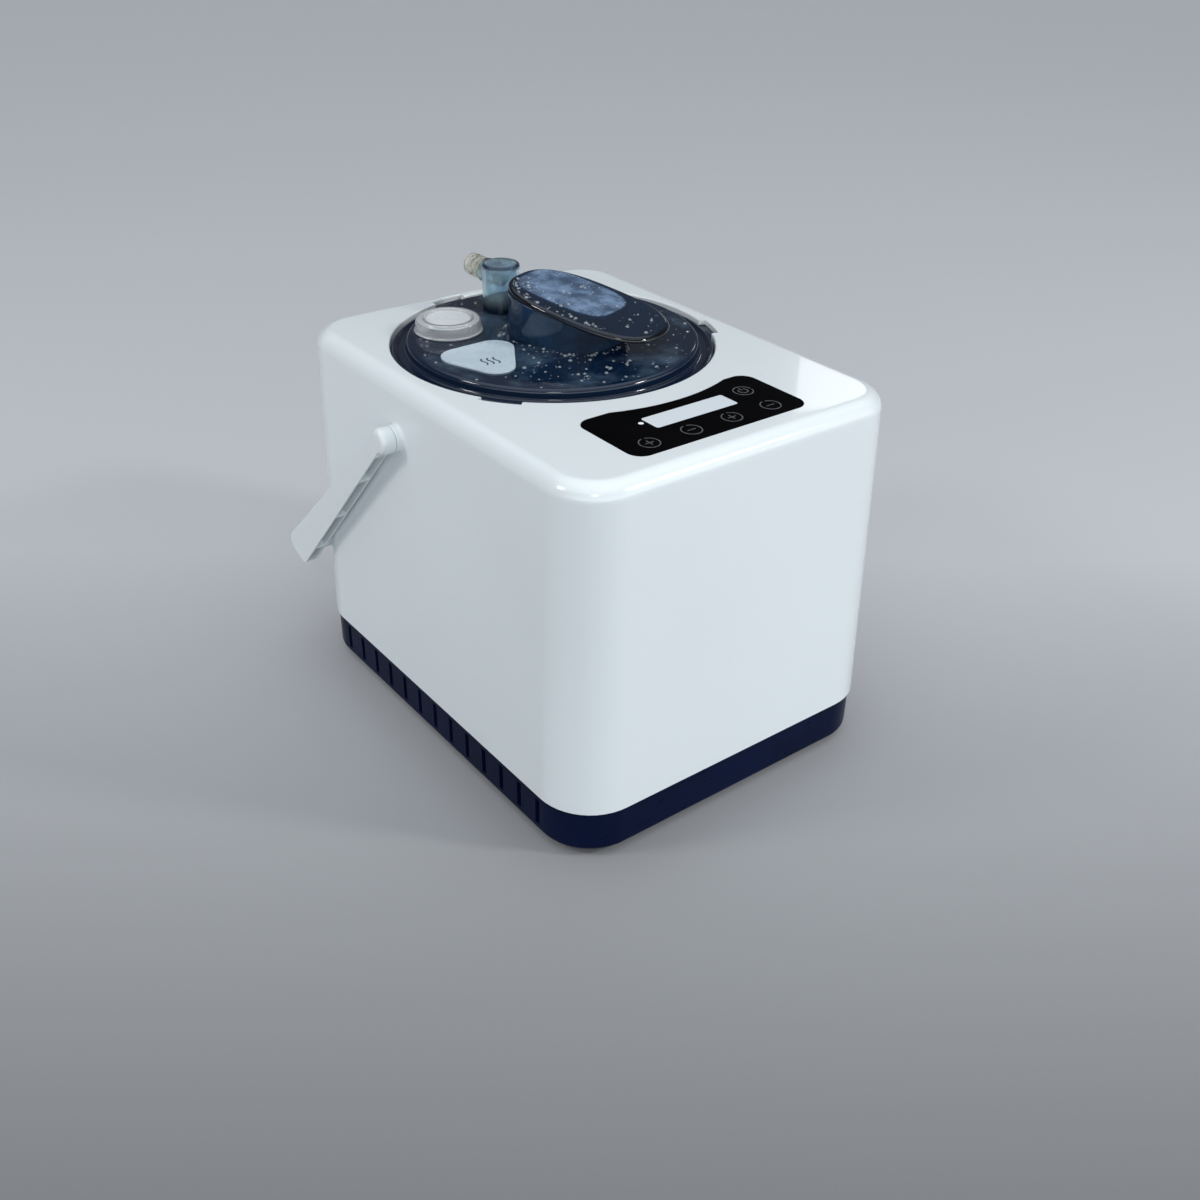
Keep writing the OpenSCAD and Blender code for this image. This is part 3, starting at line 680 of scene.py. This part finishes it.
# ---------- lid ----------
def make_lid():
    """The see-through lid: plateau, groove, lip and skirt, the fill neck, and the lugs."""
    solid = Solid()
    place = at(0, LID.y, 0)
    plate_t = 2.5 * MM
    plate_under = PLATEAU_Z - plate_t
    lip_z, groove_z, under_z = TOP_Z - LIP_DROP, TOP_Z - 3.6 * MM, TOP_Z - 5 * MM
    skirt_r, skirt_z = 86.5 * MM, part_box("lid")[0].z
    rim_r = OPENING_R - 0.9 * MM
    lip_in = rim_r - 2.5 * MM
    edge, root, nose = 2.2 * MM, 2.0 * MM, 1.1 * MM

    def ring(radius, z):
        return solid.loop(circle(radius, 180), z, place)

    rings = [ring(PLATEAU_R - edge + run, PLATEAU_Z - rise) for run, rise in quarter(edge, 8)]
    rings += [ring(PLATEAU_R + rise, groove_z + root - run) for run, rise in quarter(root, 6)]
    rings += [ring(lip_in - root / 2, groove_z), ring(lip_in, groove_z + root / 2)]
    rings += [ring(lip_in + nose - run, lip_z - rise) for run, rise in reversed(quarter(nose, 5))]
    rings += [ring(rim_r - nose + run, lip_z - rise) for run, rise in quarter(nose, 5)]
    rings += [ring(rim_r, under_z), ring(skirt_r, under_z), ring(skirt_r, skirt_z)]
    rings += [ring(PLATEAU_R, skirt_z), ring(PLATEAU_R - plate_t, skirt_z + 6 * MM)]
    rings.append(ring(PLATEAU_R - plate_t, plate_under))
    solid.skin(*rings)

    neck_in, neck_out, neck_z = 14 * MM, 16.5 * MM, PLATEAU_Z + 5.2 * MM
    fillet, corner, chamfer = 1.2 * MM, 0.5 * MM, 0.3 * MM
    steps = [(neck_out + fillet - run, PLATEAU_Z + rise) for run, rise in quarter(fillet, 4)]
    steps += [(neck_out - rise, neck_z - corner + run) for run, rise in quarter(corner, 3)]
    steps += [(neck_in + chamfer, neck_z), (neck_in, neck_z - chamfer), (neck_in, plate_under)]
    neck = [solid.loop(circle(radius, 72), z, at(FILL.x, FILL.y, 0)) for radius, z in steps]
    solid.skin(*neck)

    openings = ((circle(8 * MM, 48), TURRET.xy), (circle(19 * MM, 72), CUP_MID))
    holes = [[solid.loop(points, z, at(*middle, 0)) for z in (PLATEAU_Z, plate_under)]
             for points, middle in openings]
    for hole in holes:
        solid.skin(*hole)
    solid.fill(rings[0], neck[0], *(hole[0] for hole in holes))
    solid.fill(rings[-1], neck[-1], *(hole[1] for hole in holes))
    for start in LUG_STARTS:
        lug = arc((0, 0), LUG_R, start, start + LUG_SPAN, 6)
        lug += arc((0, 0), rim_r - 1.4 * MM, start + LUG_SPAN, start, 6)
        solid.prism(lug, under_z + 0.1 * MM, TOP_Z - WALL - 0.4 * MM, place)
    dressed(solid.object("lid_shell"), LID_BLUE, "lid", "lid_blue", "lid")


# ---------- herb box ----------
def herb_place(middle):
    """Local X runs along the herb box, towards the cover's low end."""
    return at(*middle, 0) @ Matrix.Rotation(math.radians(HERB_ANGLE), 4, "Z")


def slope_z(x, middle):
    """Height of the cover's top plane at a distance along the axis from a middle point."""
    ahead = (Vector(middle) - Vector(COVER_MID)) @ Vector(turned(HERB_ANGLE, 1)) + COVER_LONG + x
    return PLATEAU_Z + COVER_BACK_H - COVER_SLOPE * ahead


def sloped_loop(solid, middle, half_long, half_wide, drop):
    """An oval loop on the cover's sloping plane, lowered by drop."""
    points = [(x, y, slope_z(x, middle) - drop) for x, y in oval(half_long, half_wide)]
    return solid.loop(points, None, herb_place(middle))


def make_herb_cup():
    """The open oval cup under the cover, with its rim cut to the cover's slope."""
    solid = Solid()
    wall, edge = 2 * MM, 0.6 * MM
    under = COVER_T + 0.3 * MM
    place = herb_place(CUP_MID)
    outer = [solid.loop(oval(CUP_LONG, CUP_WIDE), PLATEAU_Z, place)]
    outer += [sloped_loop(solid, CUP_MID, CUP_LONG - rise, CUP_WIDE - rise, under + edge - run)
              for run, rise in quarter(edge, 3)]
    inner_long, inner_wide = CUP_LONG - wall, CUP_WIDE - wall
    inner = [sloped_loop(solid, CUP_MID, inner_long + 0.2 * MM, inner_wide + 0.2 * MM, under)]
    inner.append(sloped_loop(solid, CUP_MID, inner_long, inner_wide, under + 0.4 * MM))
    inner.append(solid.loop(oval(inner_long, inner_wide), PLATEAU_Z, place))
    solid.skin(*outer, *inner, outer[0])
    dressed(solid.object("herb_cup"), CUP_BLUE, "lid", "cover_blue", "herb_box")


def make_herb_cover():
    """The sloping cover: a flat plate with a round edge and a skirt that sits in the cup."""
    solid = Solid()
    edge, foot = 2.2 * MM, 0.7 * MM
    wall, tip, corner, spare = 2 * MM, 3.5 * MM, 0.4 * MM, 2.5 * MM

    def ring(inset, drop):
        return sloped_loop(solid, COVER_MID, COVER_LONG - inset, COVER_WIDE - inset, drop)

    def skirt(inset, drop):
        long, wide = CUP_LONG - spare - inset, CUP_WIDE - spare - inset
        return sloped_loop(solid, CUP_MID, long, wide, COVER_T + drop)

    rim = [ring(edge - run, rise) for run, rise in quarter(edge, 8)]
    rim += [ring(rise, COVER_T - foot + run) for run, rise in quarter(foot, 3)]
    skirts = [skirt(0, 0), skirt(0, tip - corner), skirt(corner, tip)]
    skirts += [skirt(wall - corner, tip), skirt(wall, tip - corner), skirt(wall, 0)]
    solid.skin(*rim)
    solid.skin(*skirts)
    solid.fill(rim[0])
    solid.fill(rim[-1], skirts[0])
    solid.fill(skirts[-1])
    cover = solid.object("herb_cover_shell")
    dressed(cover, COVER_BLUE, "herb_cover", "cover_blue", "herb_cover")


def make_strainer():
    """A perforated plate in the bottom of the cup."""
    solid = Solid()
    lo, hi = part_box("herb_strainer")
    half_long, half_wide = CUP_LONG - 2.4 * MM, CUP_WIDE - 2.4 * MM
    hole_r, border = 1.3 * MM, 3 * MM
    pitch = 5.2 * MM
    row_pitch = 0.87 * pitch
    holes = []
    for i in range(-5, 6):
        for j in range(-4, 5):
            x, y = (i + (j % 2) / 2) * pitch, j * row_pitch
            if inside_oval(x, y, half_long - border, half_wide - border):
                holes.append(circle(hole_r, 12, (x, y)))
    solid.prism(oval(half_long, half_wide), lo.z, hi.z, herb_place(CUP_MID), holes)
    dressed(solid.object("strainer_plate"), POT_STEEL, "lid", "pot_steel", "herb_strainer")


# ---------- steam outlet ----------
def turret_finish(radius, low, high):
    """Blue see-through plastic, with painted shade round its top rim and at its foot."""
    rim_painted_shade, foot_painted_shade = (0.03, 0.07, 0.14), (0.02, 0.05, 0.11)

    def tint(tree, coords):
        clear = drifting(tree, coords, (0.58, 0.76, 1.0), 0.3, 140)
        height = along(tree, coords, (0, 0, 1))
        inside = region(tree, coords, tuple(TURRET.xy), 0, (radius, radius), 2, 0.82, 0.90)
        # painted shade: the top darkens round its rim, and the walls darken towards the foot
        top_shade_mask = ramp(tree, height, high - 2.2 * MM, high - 1.2 * MM, 0, 1)
        foot_shade_mask = ramp(tree, height, low + 2 * MM, low + 9 * MM, 1, 0)
        walls = mixed(tree, top_shade_mask, clear, mixed(tree, inside, rim_painted_shade, clear))
        return mixed(tree, foot_shade_mask, walls, foot_painted_shade)

    return tinted("outlet_blue", tint, 0.03, clear=0.86, cloud=140)


def make_outlet():
    """The hollow turret, with a spigot down into the lid and one back to the hose barb."""
    low, high = PLATEAU_Z + 0.3 * MM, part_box("steam_outlet")[1].z
    radius, wall, edge, cove = 10.8 * MM, 2 * MM, 1.6 * MM, 1.2 * MM
    spigot_r, bore_r, reach = 7.2 * MM, 5.6 * MM, 14.3 * MM
    chamfer = 0.4 * MM
    inside = radius - wall
    upright, pointing = at(TURRET.x, TURRET.y, 0), backwards(*TURRET)
    profile = [(0, low), (radius - chamfer, low), (radius, low + chamfer)]
    profile += [(radius - rise, high - edge + run) for run, rise in quarter(edge, 6)]
    turret = lathed("outlet_turret", profile + [(0, high)], upright, 80)
    socket = [(0, 0), (spigot_r, 0), (spigot_r, reach - chamfer)]
    socket += [(spigot_r - chamfer, reach), (0, reach)]
    chamber = [(0, low + wall), (inside, low + wall), (inside, high - wall - cove)]
    chamber += [(inside - cove, high - wall), (0, high - wall)]
    for operation, points, place in (
        ("UNION", socket, pointing),
        ("UNION", rod(spigot_r, TOP_Z - 9 * MM, low + 3 * MM), upright),
        ("DIFFERENCE", rod(bore_r, TOP_Z - 10 * MM, low + 4 * MM), upright),
        ("DIFFERENCE", chamber, upright),
        ("DIFFERENCE", rod(bore_r, 0, 25 * MM), pointing),
    ):
        combined(turret, lathed("part", points, place, 56), operation)
    blue = turret_finish(radius, low, high)
    dressed(turret, blue, "outlet", "outlet_blue", "steam_outlet", sharp=32)


def make_nozzle():
    """The clear hose barb, with three ridges."""
    solid = Solid()
    lo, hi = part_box("outlet_nozzle")
    start, end = lo.y - TURRET.y, hi.y - TURRET.y
    face = start + 4.5 * MM
    tail, outer, bore = 5.5 * MM, 6.5 * MM, 4 * MM
    valley, ridge, round_end = outer - 0.9 * MM, 4.2 * MM, 0.6 * MM
    profile = [(bore, start), (tail, start), (tail, face), (outer, face)]
    for i in range(3):
        foot = face + 3 * MM + i * ridge
        profile += [(outer, foot), (valley, foot + 0.3 * MM), (valley, foot + 1.3 * MM)]
        profile += [(outer - 0.1 * MM, foot + 1.8 * MM), (outer, foot + 2.4 * MM)]
    profile += [(outer, end - round_end), (outer - round_end, end)]
    profile += [(bore + 0.5 * MM, end), (bore, end - 0.5 * MM)]
    solid.lathe(profile, backwards(*TURRET), 64)
    dressed(solid.object("hose_barb"), BARB_CLEAR, "outlet", "barb_clear", "outlet_nozzle")


# ---------- fill cap ----------
def make_cap():
    """A clear screw cap with a knurled wall, a plain foot flange and a sunk top."""
    solid = Solid()
    lo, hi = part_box("fill_cap")
    place = at(FILL.x, FILL.y, 0)
    radius = (hi.x - lo.x) / 2
    mouth, wall, flange = 16.8 * MM, radius - 1.0 * MM, 1.1 * MM
    knurl, edge, top_t = 0.8 * MM, 1.3 * MM, 2 * MM
    ribs, rib_shape = 60, (0, 0.5, 1, 0.5)
    count = ribs * len(rib_shape)

    def ring(r, z, depth=0.0):
        points = [turned(360 * i / count, r - depth * rib_shape[i % len(rib_shape)])
                  for i in range(count)]
        return solid.loop(points, z, place)

    rings = [ring(mouth, lo.z), ring(radius - 0.2 * MM, lo.z), ring(radius, lo.z + 0.2 * MM)]
    rings += [ring(radius, lo.z + flange - 0.3 * MM), ring(radius - 0.3 * MM, lo.z + flange)]
    rings += [ring(wall, lo.z + flange + 0.1 * MM, knurl), ring(wall, hi.z - 1.8 * MM, knurl)]
    rings += [ring(wall - knurl - rise, hi.z - edge + run) for run, rise in quarter(edge, 5)]
    rings += [ring(r * MM, hi.z - sunk * MM) for r, sunk in ((13.6, 0), (13.1, 0.3), (12.8, 0.8))]
    ceiling = ring(mouth, hi.z - top_t)
    solid.skin(*rings)
    solid.skin(ceiling, rings[0])
    solid.fill(rings[-1])
    solid.fill(ceiling)
    dressed(solid.object("cap_shell"), CAP_CLEAR, "cap", "clear_plastic", "fill_cap", sharp=50)


# ---------- label ----------
# x and y from the lid's axis and radius, in millimetres
LABEL_CIRCLES = ((-59.3, -1.4, 11.5), (-38.7, -0.1, 10.7), (-52.4, -22.5, 10.3))
INK_SINK, INK_RISE = 0.05 * MM, 0.04 * MM


def hull_of(circles):
    """The outline drawn tight round some circles, which are given in millimetres."""
    points = [p for x, y, r in circles for p in circle(r * MM, 64, (x * MM, y * MM))]
    return [points[i] for i in convex_hull_2d(points)]


def ribbon(solid, path, width, low, high, place=None):
    """A flat stroke of even width along a path."""
    left, right = [], []
    for i, p in enumerate(path):
        before, after = path[max(i - 1, 0)], path[min(i + 1, len(path) - 1)]
        ahead = Vector((after[0] - before[0], after[1] - before[1])).normalized()
        side = Vector((-ahead.y, ahead.x)) * width / 2
        left.append((p[0] + side.x, p[1] + side.y))
        right.append((p[0] - side.x, p[1] - side.y))
    solid.prism(right + left[::-1], low, high, place)


def make_label():
    """A white badge with three generic steam waves."""
    solid = Solid()
    lo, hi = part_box("label_plate")
    solid.prism(hull_of(LABEL_CIRCLES), lo.z, hi.z, at(0, LID.y, 0))
    badge = rounded(solid.object("label_badge"), 0.25 * MM)
    dressed(badge, LABEL, "lid", "label_white", "label_plate")
    marks = Solid()
    turn = at(-51.5 * MM, LID.y - 16 * MM, 0) @ Matrix.Rotation(math.radians(-12), 4, "Z")
    spacing, swing, line = 3.4 * MM, 0.9 * MM, 0.9 * MM
    steps, step = 12, 0.75 * MM
    for i in range(3):
        sway = [swing * math.sin(2 * math.pi * t / steps) for t in range(steps + 1)]
        path = [((i - 1) * spacing + x, (t - steps / 2) * step) for t, x in enumerate(sway)]
        ribbon(marks, path, line, hi.z - INK_SINK, hi.z + INK_RISE, turn)
    dressed(marks.object("label_steam_mark"), LABEL_INK, "lid", "label_white")


# ---------- panel ----------
# the icons' places are measured from the panel's middle in X and its front edge in Y
ICON_R = 5.2 * MM
ICON_PITCH = 25.7 * MM
FIRST_ICON = (-39.7 * MM, 10.3 * MM)
POWER_ICON = (38.5 * MM, 31.5 * MM)


def make_panel():
    """The black overlay, with openings for the display and the indicator."""
    solid = Solid()
    openings = panel_openings(0.1 * MM, 1.5 * MM)
    solid.prism(panel_outline(), PANEL_LO.z, PANEL_HI.z, None, openings)
    plate = rounded(solid.object("touch_plate"), 0.12 * MM, 2)
    dressed(plate, PANEL, "root", "panel_black", "control_panel")


def make_icons():
    """Printed rings with plus, minus and power signs, as thin raised ink."""
    solid = Solid()
    low, high = PANEL_HI.z - 0.02 * MM, PANEL_HI.z + INK_RISE
    line, sign = 0.55 * MM, 2.6 * MM

    def bar(x, y, half_x, half_y):
        solid.prism(rounded_rect(half_x, half_y, line / 2 * 0.98, 3, (x, y)), low, high)

    def ring(x, y, radius, start, end):
        ribbon(solid, arc((x, y), radius, start, end, 40), line, low, high)

    for i in range(4):
        x, y = PANEL_X + FIRST_ICON[0] + i * ICON_PITCH, PANEL_LO.y + FIRST_ICON[1]
        ring(x, y, ICON_R, 100, 440)
        bar(x, y, sign, line / 2)
        if i % 2 == 0:
            bar(x, y, line / 2, sign)
    x, y = PANEL_X + POWER_ICON[0], PANEL_LO.y + POWER_ICON[1]
    ring(x, y, ICON_R, 0, 350)
    ring(x, y, 2.5 * MM, 125, 415)
    bar(x, y + 2.2 * MM, line / 2, 1.5 * MM)
    dressed(solid.object("touch_icons"), INK, "root", "panel_black")


# ---------- handle ----------
HANDLE_SLOPE = 45
ARM_IN, ARM_OUT = 107.2 * MM, 115.2 * MM
HUB_R = 7.4 * MM
GRIP_REACH, GRIP_OFF, GRIP_R = 163.5 * MM, 3.5 * MM, 7 * MM
# along the arm from its pivot and across it, in millimetres
ARM_CIRCLES = ((0, 0, 4), (164.5, 5.5, 6), (161, -4.5, 5))
POCKET_ENDS = (10.4, 42, 91, 140)
END_POCKET = ((140.7, 3), (140.7, -16), (161, -16), (166.6, 3))


def arm_place(side):
    """Local X runs along the arm, local Y across it and local Z outwards, on either side."""
    a = math.radians(HANDLE_SLOPE)
    ahead = Vector((0, math.cos(a), -math.sin(a)))
    across = Vector((0, math.sin(a), math.cos(a)))
    out = Vector((side, 0, 0))
    turn = Matrix((ahead, across, out)).transposed().to_4x4()
    return at(0, PIVOT.y, PIVOT.z) @ turn


def make_arm(side):
    """One arm with its pockets, whose walls leave ribs between them, and its hub."""
    place = arm_place(side)
    solid = Solid()
    solid.prism(hull_of(ARM_CIRCLES), ARM_IN, ARM_OUT, place)
    arm = rounded(solid.object("arm"), 0.6 * MM)
    pockets = Solid()
    low, high = ARM_IN + 1.0 * MM, ARM_OUT - 1.0 * MM
    for start, end in zip(POCKET_ENDS, POCKET_ENDS[1:]):
        pockets.block(((start + 0.7) * MM, -16 * MM, low), ((end - 0.7) * MM, 3 * MM, high), place)
    pockets.prism([(u * MM, v * MM) for u, v in END_POCKET], low, high, place)
    combined(arm, rounded(pockets.object("cuts"), 0.4 * MM, 2))
    pin_r, pin_in, hub_in = 4 * MM, 97 * MM, 107 * MM
    chamfer, dome = 0.4 * MM, 3.0 * MM
    profile = [(0, pin_in), (pin_r, pin_in), (pin_r, hub_in), (HUB_R - chamfer, hub_in)]
    profile += [(HUB_R, ARM_IN + chamfer)]
    profile += [(HUB_R - rise, ARM_OUT - dome + run) for run, rise in quarter(dome, 6)]
    combined(arm, lathed("hub", profile + [(0, ARM_OUT)], place, 56), "UNION")
    return arm


def make_handle():
    """The bail: two arms and the grip between them."""
    handle = combined(make_arm(-1), make_arm(1), "UNION")
    reach = ARM_IN + 4 * MM
    grip_at = arm_place(1) @ at(GRIP_REACH, GRIP_OFF, 0)
    combined(handle, lathed("grip", rod(GRIP_R, -reach, reach), grip_at, 64), "UNION")
    handle.name = "bail_handle"
    handle.data.name = "bail_handle"
    dressed(handle, WHITE, "handle", "white_shell", "handle", sharp=40)


# ---------- condensation ----------
DROP_LEAST, DROP_SPREAD, DROP_HEIGHT = 0.3 * MM, 0.9 * MM, 0.62
# x, y and radius of the fittings that lid droplets keep clear of
KEEP_CLEAR = [(FILL.x, FILL.y, 20 * MM), (TURRET.x, TURRET.y, 12.5 * MM)]
KEEP_CLEAR += [(x * MM, LID.y + y * MM, (r + 4) * MM) for x, y, r in LABEL_CIRCLES]


def droplets(name, body, slot, count, seed, spot):
    """Small domes of water on a surface; spot draws a random place, or None to skip it."""
    draw = random.Random(seed)
    solid = Solid()
    for _ in range(count):
        where = spot(draw)
        size = DROP_LEAST + DROP_SPREAD * draw.random() ** 3
        if where is None:
            continue
        place = where @ Matrix.Diagonal((1, 0.8 + 0.4 * draw.random(), 1, 1))
        top = size * DROP_HEIGHT
        profile = [(0, -0.1 * MM), (size, -0.1 * MM)]
        profile += [(size * c, top * s) for c, s in (turned(a, 1) for a in (0, 22, 45, 68))]
        solid.lathe(profile + [(0, top)], place, 12)
    dressed(solid.object(name), WATER, body, slot, sharp=60)


def foot_spot(draw):
    """A place just outside the foot of the herb cup."""
    off = draw.uniform(1.2, 4.5) * MM
    spot = draw.choice(oval(CUP_LONG + off, CUP_WIDE + off, 90))
    return herb_place(CUP_MID) @ at(*spot, PLATEAU_Z)


def lid_spot(draw):
    """A place on the raised middle, clear of the fittings; three in ten are at the cup's foot."""
    angle, share = draw.uniform(0, 360), math.sqrt(draw.random())
    if draw.random() < 0.3:
        return foot_spot(draw)
    x, y = turned(angle, share * (PLATEAU_R - 3 * MM))
    y += LID.y
    local = herb_place(CUP_MID).inverted() @ Vector((x, y, 0))
    if inside_oval(local.x, local.y, CUP_LONG + 2 * MM, CUP_WIDE + 2 * MM):
        return None
    if any(math.hypot(x - cx, y - cy) < r for cx, cy, r in KEEP_CLEAR):
        return None
    return at(x, y, PLATEAU_Z)


def on_cover(x, y):
    """A place on the cover's sloping top, measured from its middle."""
    tilt = Matrix.Rotation(math.atan(COVER_SLOPE), 4, "Y")
    return herb_place(COVER_MID) @ at(x, y, slope_z(x, COVER_MID)) @ tilt


def cover_spot(draw):
    """A place on the cover's top, more often towards its high end."""
    x = -COVER_LONG + 2 * COVER_LONG * draw.random() ** 2.2
    y = draw.uniform(-1, 1) * COVER_WIDE
    return on_cover(x, y) if inside_oval(x, y, COVER_LONG - 4 * MM, COVER_WIDE - 4 * MM) else None


def cover_rim_spot(draw):
    """A place along the cover's front edge, where water runs down and gathers."""
    inset = draw.uniform(2.4, 5.5) * MM
    points = oval(COVER_LONG - inset, COVER_WIDE - inset, 140)
    return on_cover(*points[draw.randrange(74, 118)])


def make_droplets():
    """Water on the lid and on the cover's top and front edge."""
    droplets("lid_droplets", "lid", "clear_plastic", 560, 11, lid_spot)
    droplets("cover_droplets", "herb_cover", "clear_plastic", 190, 5, cover_spot)
    droplets("cover_rim_droplets", "herb_cover", "clear_plastic", 60, 8, cover_rim_spot)


# ---------- stage, lights and camera ----------
FLOOR_SIZE = 30.0
FLOOR_GAP = 0.2 * MM
# floor: the far colour, and a near colour that is painted shade in front of the object
FLOOR_FAR, FLOOR_NEAR_PAINTED_SHADE = (0.50, 0.505, 0.525), (0.145, 0.15, 0.155)
SKY_COLOUR = (0.84, 0.89, 0.94, 1)
BACKDROP = 0.46
AIM = (0, 0, 0.12)
CAMERA_AT = (-0.3979, -0.5364, 0.4640)
CAMERA_AZIMUTH = -37.78
CAMERA_ELEVATION = 31.58
CAMERA_ROLL = 1.06
CAMERA_LENS = 38.95


def floor_tint_with_painted_shade(tree, coords):
    """Grey, with painted shade that makes it darker in front of the object than behind it."""
    # painted shade, growing towards the front
    painted_shade_share = ramp(tree, along(tree, coords, (-0.6, -0.8, 0)), -0.15, 0.45, 0, 1)
    return mixed(tree, painted_shade_share, FLOOR_FAR, FLOOR_NEAR_PAINTED_SHADE)


def make_floor():
    """A floor just under the feet, with painted shade in front of the object."""
    floor = Solid()
    half = FLOOR_SIZE / 2
    floor.fill(floor.loop([(-half, -half), (half, -half), (half, half), (-half, half)], -FLOOR_GAP))
    slab = floor.object("studio_floor")
    grey = moulded("floor_grey", floor_tint_with_painted_shade, 0.8, cloud=3, Specular_IOR_Level=0.1)
    slab.data.materials.append(grey)


def make_sky():
    """Broad light from above and from the front. The camera itself sees a plain backdrop."""
    world = bpy.data.worlds.new("studio")
    bpy.context.scene.world = world
    world.use_nodes = True
    tree = world.node_tree
    back = tree.nodes["Background"]
    back.inputs["Color"].default_value = SKY_COLOUR
    coords = added(tree, "TexCoord", {}).outputs["Generated"]
    height = along(tree, coords, (0, 0, 1))
    overhead = ramp(tree, height, 0.55, 0.85, 0.14, 1.36)
    ahead = ramp(tree, along(tree, coords, (-0.25, -0.97, 0)), 0.0, 0.6, 0, 2.75)
    ahead = calculated(tree, "MULTIPLY", ahead, ramp(tree, height, 0.1, 0.5, 1, 0))
    seen = added(tree, "LightPath", {}).outputs["Is Camera Ray"]
    light = calculated(tree, "ADD", overhead, ahead)
    light = calculated(tree, "MULTIPLY", light, ramp(tree, seen, 0, 1, 1, 0))
    light = calculated(tree, "ADD", light, ramp(tree, seen, 0, 1, 0, BACKDROP))
    tree.links.new(light, back.inputs["Strength"])


def soft_light(name, spot, aim, size, power, colour=(1, 1, 1)):
    """A rectangular area light that faces a point."""
    data = bpy.data.lights.new(name, "AREA")
    data.shape = "RECTANGLE"
    data.size, data.size_y = size
    data.energy = power
    data.color = colour
    lamp = linked(name, data)
    lamp.location = spot
    lamp.rotation_euler = (Vector(aim) - Vector(spot)).to_track_quat("-Z", "Y").to_euler()


def make_lights():
    """Three soft boxes, and a small weak one whose reflection shows at the panel's right."""
    soft_light("key_softbox", (1.0, -1.3, 1.1), AIM, (0.2, 0.2), 10, (1.0, 0.99, 0.97))
    soft_light("front_fill", (-0.9, -1.3, 1.2), AIM, (0.3, 0.3), 3, (1.0, 0.99, 0.98))
    soft_light("left_softbox", (-1.25, 0.4, 1.1), AIM, (0.3, 0.3), 5.2, (1.0, 0.99, 0.97))
    soft_light("right_window", (1.48, 1.09, 0.95), (0.08, -0.1, 0.21), (0.2, 0.12), 0.22)


def make_camera():
    """The scene's camera, at the angle of the front view."""
    data = bpy.data.cameras.new("camera")
    data.sensor_width = 36
    data.lens = CAMERA_LENS
    data.clip_start = 0.01
    camera = linked("camera", data)
    turn = Matrix.Rotation(math.radians(CAMERA_AZIMUTH), 4, "Z")
    tip = Matrix.Rotation(math.radians(90 - CAMERA_ELEVATION), 4, "X")
    roll = Matrix.Rotation(math.radians(CAMERA_ROLL), 4, "Z")
    camera.matrix_world = at(*CAMERA_AT) @ turn @ tip @ roll
    bpy.context.scene.camera = camera


make_camera()
dress_carried_nodes()
make_shell()
make_tray()
make_feet()
make_lid()
make_herb_cup()
make_herb_cover()
make_strainer()
make_outlet()
make_nozzle()
make_cap()
make_label()
make_panel()
make_icons()
make_handle()
make_droplets()
make_floor()
make_sky()
make_lights()
bpy.context.scene.view_settings.view_transform = "Standard"
